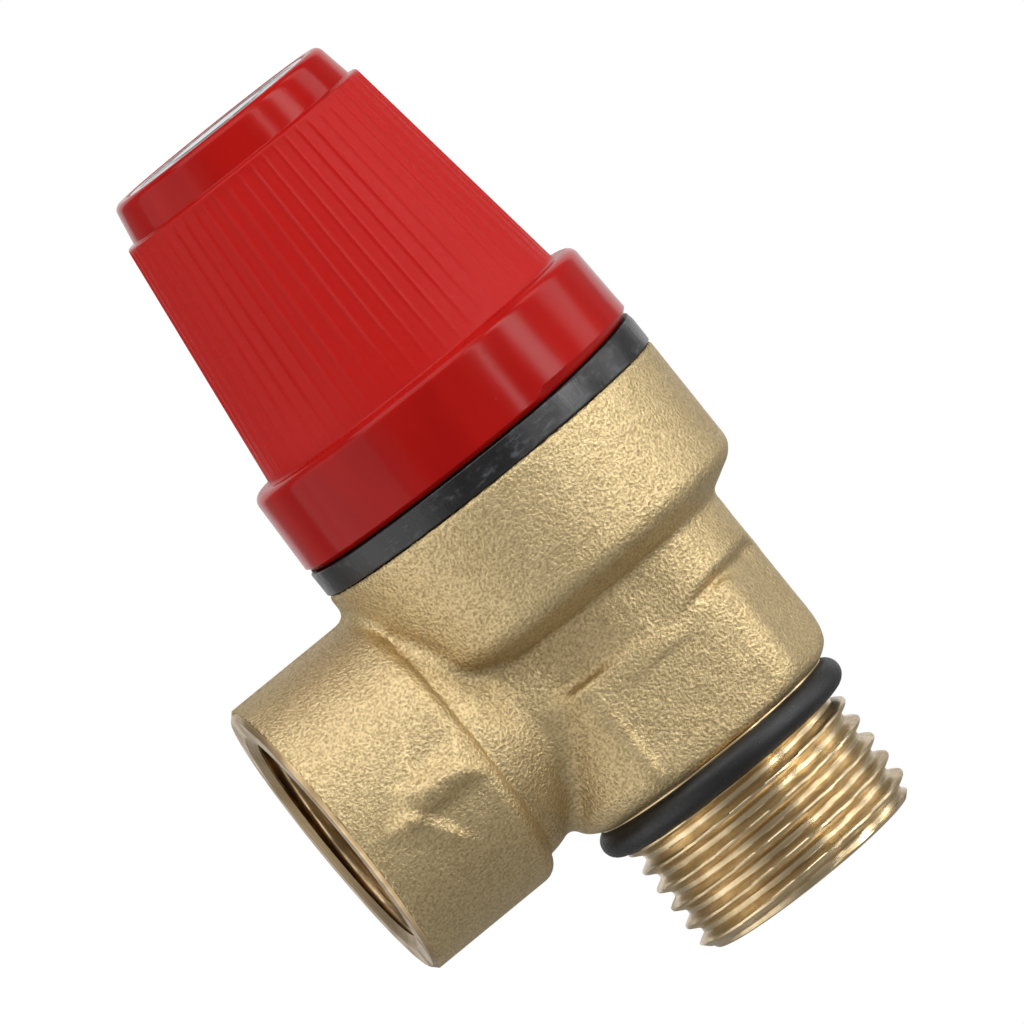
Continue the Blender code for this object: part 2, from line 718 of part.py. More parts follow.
def make_knob_screw(parts):
    """Screw in the stem's top, whose head rests on the thrust washer."""
    head_bottom = STEM_TOP_Z + GAP
    head_top = head_bottom + 1.8 * MM
    head_r = 4.0 * MM
    shank_bottom = STEM_TOP_Z - 7.0 * MM
    profile = [
        (0.0, head_top),
        (head_r - 1.0 * MM, head_top),
        (head_r, head_top - 0.8 * MM),
        (head_r, head_bottom),
        (SCREW_SHANK_R, head_bottom),
        (SCREW_SHANK_R, shank_bottom),
        (0.0, shank_bottom),
    ]
    return turned("knob_screw", profile, parts, STEEL, SMALL_FACETS)


def main():
    """Build every piece of the valve."""
    clear_scene()
    parts = new_collection(COLLECTION_NAME)
    cutters = new_collection("cutters")
    plain_makers = (
        make_inlet_ring,
        make_disc_screw,
        make_disc_washer,
        make_seal_disc,
        make_disc_holder,
        make_stem,
        make_diaphragm_washer,
        make_diaphragm,
        make_slip_ring,
        make_spring_plate,
        make_spring,
        make_upper_seat,
        make_knob_washer,
        make_knob_screw,
        make_badge,
    )
    for maker in plain_makers:
        maker(parts)
    for maker in (make_valve_body, make_adjusting_nut, make_bonnet, make_knob):
        maker(parts, cutters)


main()
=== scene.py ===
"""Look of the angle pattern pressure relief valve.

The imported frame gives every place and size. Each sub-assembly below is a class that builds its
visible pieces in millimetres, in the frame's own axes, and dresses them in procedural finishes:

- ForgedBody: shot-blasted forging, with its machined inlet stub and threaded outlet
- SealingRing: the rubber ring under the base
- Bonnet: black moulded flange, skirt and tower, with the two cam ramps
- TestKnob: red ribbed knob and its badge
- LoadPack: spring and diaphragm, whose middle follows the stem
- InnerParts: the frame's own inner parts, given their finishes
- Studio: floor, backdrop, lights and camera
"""

from __future__ import annotations

import logging
import math
from dataclasses import dataclass, field
from enum import Enum
from typing import Any, Callable, Sequence

import bpy
import numpy as np
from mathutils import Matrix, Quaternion, Vector


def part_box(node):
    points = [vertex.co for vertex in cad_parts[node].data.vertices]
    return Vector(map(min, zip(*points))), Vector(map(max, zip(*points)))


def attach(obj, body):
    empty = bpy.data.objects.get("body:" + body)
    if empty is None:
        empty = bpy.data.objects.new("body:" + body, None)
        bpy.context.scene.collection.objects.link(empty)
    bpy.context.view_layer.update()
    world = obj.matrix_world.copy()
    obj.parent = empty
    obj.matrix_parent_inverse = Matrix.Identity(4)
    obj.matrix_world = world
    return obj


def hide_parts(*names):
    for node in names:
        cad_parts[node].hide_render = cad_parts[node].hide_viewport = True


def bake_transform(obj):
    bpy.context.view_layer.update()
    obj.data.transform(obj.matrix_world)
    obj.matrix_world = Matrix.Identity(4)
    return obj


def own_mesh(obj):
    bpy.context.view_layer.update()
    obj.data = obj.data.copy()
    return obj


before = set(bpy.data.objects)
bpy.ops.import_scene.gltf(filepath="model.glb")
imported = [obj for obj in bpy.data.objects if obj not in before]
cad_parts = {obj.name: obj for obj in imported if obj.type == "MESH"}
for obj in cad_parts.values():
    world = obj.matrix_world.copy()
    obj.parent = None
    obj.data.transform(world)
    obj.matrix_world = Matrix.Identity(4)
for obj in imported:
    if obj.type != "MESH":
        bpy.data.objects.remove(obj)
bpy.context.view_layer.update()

LOG = logging.getLogger("relief_valve")
MM = 0.001
SHARP_DEG = 38.0
ARC_STEP_DEG = 14.0
Array = np.ndarray
Places = tuple[Array, Array, Array]
Corner = tuple[float, float, float]
Colour = tuple[float, float, float]
Shaper = Callable[[Array, Array, Array], tuple[Array, Array]]


class Axis(Enum):
    """The two lines that the valve is turned about."""

    MAIN = "main"
    OUTLET = "outlet"


class Side(Enum):
    """Which face of the valve a softbox stands on, as the azimuth of its centre in degrees."""

    STRIP = 29.0
    WINDOW = 56.0
    RIGHT = 92.0
    LEFT = -84.0
    BACK = 170.0


# ---------------------------------------------------------------- shader toolkit


class Value:
    """A node's output socket that can be written into expressions."""

    def __init__(self, graph: Graph, socket: bpy.types.NodeSocket) -> None:
        """Remember the graph and the socket.

        Args:
            graph: the graph that new nodes go into.
            socket: the output this value stands for.
        """
        self.graph = graph
        self.socket = socket

    def _math(self, operation: str, first: Any, second: Any = None) -> Value:
        """Add a Math node.

        Args:
            operation: the node's operation.
            first: its first input, a number or a Value.
            second: its second input, if it has one.

        Returns:
            The node's result.
        """
        inputs = {0: first} if second is None else {0: first, 1: second}
        return self.graph.node("ShaderNodeMath", {"operation": operation}, inputs)

    def __add__(self, other: Any) -> Value:
        """Sum."""
        return self._math("ADD", self, other)

    def __sub__(self, other: Any) -> Value:
        """Difference."""
        return self._math("SUBTRACT", self, other)

    def __rsub__(self, other: Any) -> Value:
        """Difference from a number on the left."""
        return self._math("SUBTRACT", other, self)

    def __mul__(self, other: Any) -> Value:
        """Product."""
        return self._math("MULTIPLY", self, other)

    def size(self) -> Value:
        """Absolute value."""
        return self._math("ABSOLUTE", self)

    def root(self) -> Value:
        """Square root."""
        return self._math("SQRT", self)

    def highest(self, other: Any) -> Value:
        """The larger of two values."""
        return self._math("MAXIMUM", self, other)

    def ramp(self, low: float, high: float, to_low: float = 0.0, to_high: float = 1.0) -> Value:
        """Smooth step from one range to another.

        Args:
            low: value at which the step begins.
            high: value at which it ends.
            to_low: result before the step.
            to_high: result after it.

        Returns:
            The stepped value.
        """
        settings = {"interpolation_type": "SMOOTHSTEP"}
        inputs = {0: self, 1: low, 2: high, 3: to_low, 4: to_high}
        return self.graph.node("ShaderNodeMapRange", settings, inputs)


class Graph:
    """The node tree of a material or a world, with one method that adds any node."""

    def __init__(self, owner: Any) -> None:
        """Empty the owner's node tree.

        Args:
            owner: a new material or world.
        """
        owner.use_nodes = True
        self.owner = owner
        self.tree = owner.node_tree
        self.tree.nodes.clear()

    def node(
        self, kind: str, settings: dict[str, Any], inputs: dict[Any, Any], output: Any = 0
    ) -> Value:
        """Add a node.

        Args:
            kind: the node's type.
            settings: its properties.
            inputs: socket name or number to a number, a colour or a Value to link.
            output: name or number of the output wanted.

        Returns:
            That output, with no socket if the node has none.
        """
        made = self.tree.nodes.new(kind)
        for key, setting in settings.items():
            setattr(made, key, setting)
        for key, given in inputs.items():
            if isinstance(given, Value):
                self.tree.links.new(given.socket, made.inputs[key])
            else:
                made.inputs[key].default_value = given
        return Value(self, made.outputs[output] if len(made.outputs) else None)

    def place(self) -> Value:
        """The surface point in the piece's own axes, in millimetres."""
        point = self.node("ShaderNodeTexCoord", {}, {}, "Object")
        return self.node(
            "ShaderNodeVectorMath", {"operation": "SCALE"}, {0: point, "Scale": 1.0 / MM}
        )

    def parts(self, vector: Value) -> tuple[Value, Value, Value]:
        """Split a vector into its three numbers."""
        split = self.node("ShaderNodeSeparateXYZ", {}, {0: vector})
        outputs = split.socket.node.outputs
        return Value(self, outputs[0]), Value(self, outputs[1]), Value(self, outputs[2])

    def stretched(self, vector: Value, scale: tuple[float, float, float]) -> Value:
        """Multiply a vector by another, part by part."""
        return self.node(
            "ShaderNodeVectorMath", {"operation": "MULTIPLY"}, {0: vector, 1: scale}
        )

    def noise(self, vector: Value, scale: float, detail: float = 2.0, rough: float = 0.5) -> Value:
        """Noise around 0.5.

        Args:
            vector: where it is read, in millimetres.
            scale: features per millimetre.
            detail: number of finer octaves.
            rough: how strong the finer octaves are.

        Returns:
            The noise value.
        """
        inputs = {"Vector": vector, "Scale": scale, "Detail": detail, "Roughness": rough}
        return self.node("ShaderNodeTexNoise", {}, inputs, "Fac")

    def cells(self, vector: Value, scale: float) -> Value:
        """Distance to the nearest of scattered points, from 0 at a point."""
        inputs = {"Vector": vector, "Scale": scale}
        return self.node("ShaderNodeTexVoronoi", {}, inputs, "Distance")

    def blend(self, factor: Value, first: Any, second: Any) -> Value:
        """Mix two colours by a factor."""
        settings = {"data_type": "RGBA"}
        inputs = {0: factor, 6: self._colour(first), 7: self._colour(second)}
        return self.node("ShaderNodeMix", settings, inputs, 2)

    @staticmethod
    def _colour(given: Any) -> Any:
        """Give an RGB triple its alpha, and leave a Value as it is."""
        return given if isinstance(given, Value) else (*given, 1.0)

    def bump(self, height: Value, distance_mm: float, below: Value | None = None) -> Value:
        """Normal from a height between 0 and 1.

        Args:
            height: the height.
            distance_mm: how far a height of 1 stands out.
            below: an earlier bump that this one sits on.

        Returns:
            The bent normal.
        """
        inputs: dict[Any, Any] = {"Height": height, "Distance": distance_mm * MM, "Strength": 1.0}
        if below is not None:
            inputs["Normal"] = below
        return self.node("ShaderNodeBump", {}, inputs)

    def finish(self, inputs: dict[str, Any]) -> bpy.types.Material:
        """Close the material with a Principled shader.

        Args:
            inputs: its sockets' values or links.

        Returns:
            The material.
        """
        shader = self.node("ShaderNodeBsdfPrincipled", {}, inputs)
        self.node("ShaderNodeOutputMaterial", {}, {"Surface": shader})
        return self.owner


# ---------------------------------------------------------------- finishes


@dataclass(frozen=True)
class BlastedBrass:
    """Forged brass, shot-blasted to a fine sparkling grain."""

    light: Colour = (0.69, 0.54, 0.30)
    dark: Colour = (0.40, 0.30, 0.15)
    roughness: float = 0.47
    grain_per_mm: float = 4.3
    grain_height_mm: float = 0.07

    def material(self) -> bpy.types.Material:
        """Build the material.

        Returns:
            The material.
        """
        g = Graph(bpy.data.materials.new("blasted_brass"))
        place = g.place()
        grain = g.noise(place, self.grain_per_mm, 3.0, 0.62)
        pits = g.cells(place, self.grain_per_mm * 0.8)
        patches = g.noise(place, 0.16, 3.0, 0.55)
        blotches = g.noise(place, 1.1, 2.0, 0.5)
        swell = g.noise(place, 0.75, 2.0, 0.5)
        fine = grain.ramp(0.3, 0.7) * 0.5 + pits.ramp(0.05, 0.75) * 0.2
        tone = fine + patches * 0.3 + blotches * 0.2
        colour = g.blend(tone.ramp(0.22, 0.95), self.dark, self.light)
        sheen = grain.ramp(0.3, 0.72, self.roughness + 0.13, self.roughness - 0.1)
        relief = grain * 0.7 + pits * 0.3
        normal = g.bump(swell, 0.05)
        normal = g.bump(relief, self.grain_height_mm * 2.2, normal)
        return g.finish(
            {"Base Color": colour, "Metallic": 1.0, "Roughness": sheen, "Normal": normal}
        )


@dataclass(frozen=True)
class MachinedBrass:
    """Bright brass with fine turning marks round one axis."""

    axis: Axis
    light: Colour = (0.76, 0.61, 0.385)
    dark: Colour = (0.47, 0.355, 0.20)
    roughness: float = 0.27

    def material(self) -> bpy.types.Material:
        """Build the material.

        Returns:
            The material.
        """
        g = Graph(bpy.data.materials.new(f"machined_brass_{self.axis.value}"))
        place = g.place()
        along = (0.05, 0.05, 7.0) if self.axis is Axis.MAIN else (7.0, 0.05, 0.05)
        marks = g.noise(g.stretched(place, along), 1.0, 2.0, 0.6)
        smears = g.noise(place, 0.35, 3.0, 0.6)
        grit = g.noise(place, 2.6, 2.0, 0.5)
        tone = marks * 0.4 + smears * 0.6
        colour = g.blend(tone.ramp(0.34, 0.66), self.dark, self.light)
        sheen = smears.ramp(0.3, 0.75, self.roughness + 0.16, self.roughness - 0.03)
        normal = g.bump(marks, 0.012)
        normal = g.bump(grit, 0.006, normal)
        return g.finish(
            {"Base Color": colour, "Metallic": 1.0, "Roughness": sheen, "Normal": normal}
        )


@dataclass(frozen=True)
class RedMoulding:
    """Glossy red plastic, duller where the grip is ribbed."""

    grip_from_mm: float
    grip_to_mm: float
    colour: Colour = (0.36, 0.006, 0.004)
    deep: Colour = (0.30, 0.004, 0.003)
    grip_colour: Colour = (0.42, 0.007, 0.005)

    def material(self) -> bpy.types.Material:
        """Build the material.

        Returns:
            The material.
        """
        g = Graph(bpy.data.materials.new("red_moulding"))
        place = g.place()
        height = g.parts(place)[2]
        above = height.ramp(self.grip_from_mm - 0.3, self.grip_from_mm + 0.5)
        below = height.ramp(self.grip_to_mm - 0.4, self.grip_to_mm + 0.1, 1.0, 0.0)
        grip = above * below
        flow = g.noise(g.stretched(place, (1.0, 1.0, 0.25)), 0.22, 2.0, 0.5)
        grain = g.noise(g.stretched(place, (1.0, 1.0, 0.3)), 5.0, 3.0, 0.6)
        specks = g.cells(place, 0.9).ramp(0.05, 0.13, 1.0, 0.0)
        scuffs = g.noise(g.stretched(place, (1.0, 1.0, 4.0)), 1.3, 3.0, 0.7).ramp(0.62, 0.74)
        colour = g.blend(flow.ramp(0.3, 0.7), self.deep, self.colour)
        colour = g.blend(grip, colour, self.grip_colour)
        gloss = flow.ramp(0.3, 0.7, 0.13, 0.2) + scuffs * 0.1
        sheen = gloss * (1.0 - grip) + grip * grain.ramp(0.3, 0.7, 0.42, 0.56)
        relief = grain * grip + flow * 0.25 + specks * 0.25
        normal = g.bump(g.noise(place, 0.12, 1.0, 0.4), 0.14)
        normal = g.bump(relief, 0.02, normal)
        return g.finish(
            {
                "Base Color": colour,
                "Roughness": sheen,
                "Normal": normal,
                "IOR": 1.38,
                "Specular IOR Level": 0.22,
            }
        )


@dataclass(frozen=True)
class BlackMoulding:
    """Glass-filled black nylon with pale handling streaks."""

    colour: Colour = (0.0085, 0.0080, 0.0080)
    streak: Colour = (0.075, 0.08, 0.09)

    def material(self) -> bpy.types.Material:
        """Build the material.

        Returns:
            The material.
        """
        g = Graph(bpy.data.materials.new("black_moulding"))
        place = g.place()
        flow = g.noise(g.stretched(place, (1.0, 1.0, 0.5)), 0.5, 4.0, 0.62)
        streaks = g.noise(g.stretched(place, (0.8, 0.8, 2.2)), 0.8, 4.0, 0.7)
        grain = g.noise(place, 6.0, 2.0, 0.5)
        worn = streaks.ramp(0.48, 0.7) * flow.ramp(0.4, 0.62)
        colour = g.blend(worn * 0.8, self.colour, self.streak)
        sheen = flow.ramp(0.3, 0.7, 0.24, 0.38) + worn * 0.15
        normal = g.bump(flow, 0.06)
        normal = g.bump(grain, 0.006, normal)
        return g.finish({"Base Color": colour, "Roughness": sheen, "Normal": normal})


@dataclass(frozen=True)
class SealRubber:
    """Matte black rubber with a dusting of specks."""

    colour: Colour = (0.0035, 0.0034, 0.0036)
    dust: Colour = (0.06, 0.06, 0.062)

    def material(self) -> bpy.types.Material:
        """Build the material.

        Returns:
            The material.
        """
        g = Graph(bpy.data.materials.new("seal_rubber"))
        place = g.place()
        grain = g.noise(place, 4.5, 3.0, 0.6)
        specks = g.cells(place, 1.6).ramp(0.04, 0.12, 1.0, 0.0)
        bloom = g.noise(place, 0.3, 2.0, 0.5)
        pale = specks * 0.7 + bloom.ramp(0.45, 0.8) * 0.12
        colour = g.blend(pale, self.colour, self.dust)
        sheen = grain.ramp(0.3, 0.7, 0.42, 0.6)
        normal = g.bump(grain, 0.014)
        return g.finish({"Base Color": colour, "Roughness": sheen, "Normal": normal})


@dataclass(frozen=True)
class PlatedSteel:
    """Zinc-plated or drawn steel with fine marks."""

    name: str
    colour: Colour
    roughness: float = 0.3

    def material(self) -> bpy.types.Material:
        """Build the material.

        Returns:
            The material.
        """
        g = Graph(bpy.data.materials.new(self.name))
        place = g.place()
        marks = g.noise(g.stretched(place, (0.3, 0.3, 5.0)), 1.0, 3.0, 0.6)
        cloud = g.noise(place, 0.6, 3.0, 0.6)
        darker = tuple(part * 0.72 for part in self.colour)
        colour = g.blend(cloud.ramp(0.3, 0.7), darker, self.colour)
        sheen = marks.ramp(0.3, 0.7, self.roughness - 0.06, self.roughness + 0.12)
        normal = g.bump(marks, 0.008)
        return g.finish(
            {"Base Color": colour, "Metallic": 1.0, "Roughness": sheen, "Normal": normal}
        )


@dataclass(frozen=True)
class BadgeFoil:
    """Silver foil disc under clear varnish, with dark rings and two plain turning arcs."""

    foil: Colour = (0.62, 0.63, 0.66)
    ink: Colour = (0.03, 0.03, 0.035)
    inner_ring_mm: float = 4.4
    outer_ring_mm: float = 7.6
    arc_ring_mm: float = 6.0

    def material(self) -> bpy.types.Material:
        """Build the material.

        Returns:
            The material.
        """
        g = Graph(bpy.data.materials.new("badge_foil"))
        place = g.place()
        x, y, _ = g.parts(place)
        radius = (x * x + y * y).root()
        rings = (radius - self.outer_ring_mm).size().ramp(0.1, 0.18, 1.0, 0.0)
        rings = rings.highest((radius - self.inner_ring_mm).size().ramp(0.08, 0.16, 1.0, 0.0))
        arcs = (radius - self.arc_ring_mm).size().ramp(0.42, 0.52, 1.0, 0.0)
        arcs = arcs * y.size().ramp(2.6, 2.8)
        spin = g.noise(g.stretched(place, (0.6, 0.6, 0.6)), 1.0, 3.0, 0.6)
        worn = g.noise(place, 1.1, 4.0, 0.7).ramp(0.56, 0.68)
        ink = (rings.highest(arcs)) * (1.0 - worn * 0.6)
        colour = g.blend(ink, self.foil, self.ink)
        metal = 1.0 - ink
        sheen = spin.ramp(0.3, 0.7, 0.18, 0.34)
        normal = g.bump(spin, 0.03)
        return g.finish(
            {
                "Base Color": colour,
                "Metallic": metal,
                "Roughness": sheen,
                "Normal": normal,
                "Coat Weight": 0.6,
                "Coat Roughness": 0.08,
            }
        )


@dataclass(frozen=True)
class StudioPaper:
    """Pale seamless paper."""

    colour: Colour = (0.86, 0.86, 0.855)

    def material(self) -> bpy.types.Material:
        """Build the material.

        Returns:
            The material.
        """
        g = Graph(bpy.data.materials.new("studio_paper"))
        fibre = g.noise(g.place(), 0.02, 2.0, 0.5)
        paler = tuple(min(part * 1.05, 1.0) for part in self.colour)
        colour = g.blend(fibre, self.colour, paler)
        return g.finish({"Base Color": colour, "Roughness": 0.9})


# ---------------------------------------------------------------- mesh toolkit


def smooth_noise(points: Array, cell_mm: float, seed: int) -> Array:
    """Smooth random values on a lattice.

    Args:
        points: places in millimetres, with x, y and z along the last axis.
        cell_mm: the lattice's spacing.
        seed: which random lattice is read.

    Returns:
        A value between -1 and 1 for each place.
    """
    size = 32
    lattice = np.random.default_rng(seed).uniform(-1.0, 1.0, (size, size, size))
    scaled = points / cell_mm
    cell = np.floor(scaled).astype(int)
    share = scaled - cell
    share = share * share * (3.0 - 2.0 * share)
    total = np.zeros(points.shape[:-1])
    for corner in np.ndindex(2, 2, 2):
        weight = np.ones(points.shape[:-1])
        for axis in range(3):
            part = share[..., axis]
            weight = weight * (part if corner[axis] else 1.0 - part)
        place = [(cell[..., axis] + corner[axis]) % size for axis in range(3)]
        total += weight * lattice[place[0], place[1], place[2]]
    return total


def step_between(value: Array, low: float, high: float) -> Array:
    """Smooth step from 0 at low to 1 at high."""
    share = np.clip((value - low) / (high - low), 0.0, 1.0)
    return share * share * (3.0 - 2.0 * share)


def join(first: Array, second: Array, fillet: float) -> Array:
    """Union of two solids, with a fillet between them.

    Args:
        first: signed distance to one solid.
        second: signed distance to the other.
        fillet: the fillet's radius.

    Returns:
        The signed distance to both.
    """
    near = np.maximum(fillet - first, 0.0)
    other = np.maximum(fillet - second, 0.0)
    return np.maximum(fillet, np.minimum(first, second)) - np.hypot(near, other)


def meet(first: Array, second: Array, rounding: float) -> Array:
    """Overlap of two solids, with its edge rounded.

    Args:
        first: signed distance to one solid.
        second: signed distance to the other.
        rounding: the edge's radius.

    Returns:
        The signed distance to what they share.
    """
    near = np.maximum(rounding + first, 0.0)
    other = np.maximum(rounding + second, 0.0)
    return np.minimum(-rounding, np.maximum(first, second)) + np.hypot(near, other)


def add_item(name: str, data: Any) -> Any:
    """Put a mesh, a lamp or a camera into the scene.

    Args:
        name: the object's name.
        data: what it shows.

    Returns:
        The object.
    """
    item = bpy.data.objects.new(name, data)
    bpy.context.scene.collection.objects.link(item)
    return item


def add_mesh(name: str, points: Array, faces: list, material: bpy.types.Material) -> Any:
    """Make a mesh object from points in millimetres.

    Args:
        name: the piece's name.
        points: its corners.
        faces: its faces, as lists of corner numbers.
        material: its finish.

    Returns:
        The object, in the scene.
    """
    mesh = bpy.data.meshes.new(name)
    mesh.from_pydata((np.asarray(points) * MM).tolist(), [], faces)
    mesh.materials.append(material)
    mesh.validate()
    mesh.shade_smooth()
    mesh.set_sharp_from_angle(angle=math.radians(SHARP_DEG))
    return add_item(name, mesh)


def rounded_outline(corners: Sequence[Corner], step: float) -> Array:
    """Points round a closed outline whose corners are rounded.

    Args:
        corners: radius, height and rounding of each corner, down the outside and up the inside.
        step: longest straight piece wanted, in millimetres.

    Returns:
        The outline's points, as radius and height.
    """
    longest_share, shortest, straight = 0.48, 1e-6, 1.5
    flat = np.array([corner[:2] for corner in corners])
    runs = []
    for index, (_, _, rounding) in enumerate(corners):
        here = flat[index]
        back = flat[index - 1] - here
        ahead = flat[(index + 1) % len(flat)] - here
        back_length, ahead_length = np.hypot(*back), np.hypot(*ahead)
        back, ahead = back / back_length, ahead / ahead_length
        half = math.acos(float(np.clip(back @ ahead, -1.0, 1.0))) / 2.0
        reach = rounding / math.tan(half) if rounding else 0.0
        reach = min(reach, longest_share * min(back_length, ahead_length))
        if reach < shortest or half > straight:
            runs.append([here])
            continue
        true_radius = reach * math.tan(half)
        middle = here + (back + ahead) / np.hypot(*(back + ahead)) * true_radius / math.sin(half)
        first, last = here + back * reach - middle, here + ahead * reach - middle
        turn = math.pi - 2.0 * half
        count = max(2, math.ceil(turn / math.radians(ARC_STEP_DEG)))
        shares = np.linspace(0.0, 1.0, count + 1)[:, None]
        arc = (np.sin((1.0 - shares) * turn) * first + np.sin(shares * turn) * last)
        runs.append(list(middle + arc / math.sin(turn)))
    points: list[Array] = []
    for index, run in enumerate(runs):
        points += run
        start, end = run[-1], runs[(index + 1) % len(runs)][0]
        pieces = max(1, math.ceil(np.hypot(*(end - start)) / step))
        points += [start + (end - start) * i / pieces for i in range(1, pieces)]
    return np.array(points)


def turned(
    name: str,
    outline: Array,
    columns: int,
    material: bpy.types.Material,
    shaper: Shaper | None = None,
) -> Any:
    """Turn a closed outline about the main axis.

    Args:
        name: the piece's name.
        outline: radius and height round the outline.
        columns: how many steps make the full turn.
        material: its finish.
        shaper: given angle, radius and height, returns the radius and height to use.

    Returns:
        The object.
    """
    rows = len(outline)
    angle = np.linspace(0.0, 2.0 * math.pi, columns, endpoint=False)[None, :]
    radius = np.repeat(outline[:, :1], columns, axis=1)
    height = np.repeat(outline[:, 1:], columns, axis=1)
    angle = np.repeat(angle, rows, axis=0)
    if shaper is not None:
        radius, height = shaper(angle, radius, height)
    points = np.stack([radius * np.cos(angle), radius * np.sin(angle), height], axis=-1)
    row, column = np.meshgrid(np.arange(rows), np.arange(columns), indexing="ij")
    below, beside = (row + 1) % rows, (column + 1) % columns
    corners = (row, column), (below, column), (below, beside), (row, beside)
    faces = np.stack([r * columns + c for r, c in corners], axis=-1).reshape(-1, 4)
    return add_mesh(name, points.reshape(-1, 3), faces.tolist(), material)


def surface_of(field: Array, low: Array, step: float) -> tuple[Array, Array]:
    """Quads over the zero surface of a sampled solid.

    Args:
        field: signed distance on a grid, negative inside.
        low: the grid's first point.
        step: its spacing.

    Returns:
        The corners, and the quads with their fronts outwards.
    """
    cells = tuple(size - 1 for size in field.shape)
    total = np.zeros((np.prod(cells), 3))
    hits = np.zeros(np.prod(cells))
    edges = []
    for axis in range(3):
        across = [(axis + 1) % 3, (axis + 2) % 3]
        near = [slice(None)] * 3
        far = [slice(None)] * 3
        near[axis], far[axis] = slice(0, -1), slice(1, None)
        start, end = field[tuple(near)], field[tuple(far)]
        crossing = (start < 0.0) != (end < 0.0)
        index = np.argwhere(crossing)
        first, second = start[crossing], end[crossing]
        point = index.astype(float)
        point[:, axis] += first / (first - second)
        quad = []
        for shift in ((-1, -1), (0, -1), (0, 0), (-1, 0)):
            cell = index.copy()
            cell[:, across[0]] += shift[0]
            cell[:, across[1]] += shift[1]
            number = np.ravel_multi_index(tuple(cell.T), cells)
            for part in range(3):
                total[:, part] += np.bincount(number, point[:, part], len(total))
            hits += np.bincount(number, minlength=len(total))
            quad.append(number)
        corners = np.stack(quad, axis=-1)
        outwards = (first < 0.0)[:, None]
        edges.append(np.where(outwards, corners, corners[:, ::-1]))
    used = hits > 0
    numbers = np.cumsum(used) - 1
    points = total[used] / hits[used][:, None] * step + low
    return points, numbers[np.concatenate(edges)]


# ---------------------------------------------------------------- sub-assemblies


@dataclass(frozen=True)
class Thread:
    """Rounded pipe thread of 14 turns to the inch, 55 degrees between flanks."""

    outer: float = 10.48
    inner: float = 9.58
    pitch: float = 1.814
    steepness: float = 1.86
    crest_half: float = 0.29
    bend: float = 0.12
    easing: float = 0.45
    columns: int = 180
    row_step: float = 0.1

    def radius(self, angle: Array, along: Array) -> Array:
        """Radius of the crests and roots.

        Args:
            angle: turn about the thread's axis, in radians.
            along: place along the axis, in millimetres.

        Returns:
            The radius at each place.
        """
        phase = along / self.pitch - angle / (2.0 * math.pi)
        from_crest = np.abs(phase - np.round(phase)) * self.pitch
        depth = self.outer - self.inner
        rise = depth + self.crest_half - self.steepness * from_crest
        share = np.clip(rise / depth, -self.bend, 1.0 + self.bend)
        share = (share + self.bend) / (1.0 + 2.0 * self.bend)
        return self.inner + depth * (share + (step_between(share, 0.0, 1.0) - share) * self.easing)


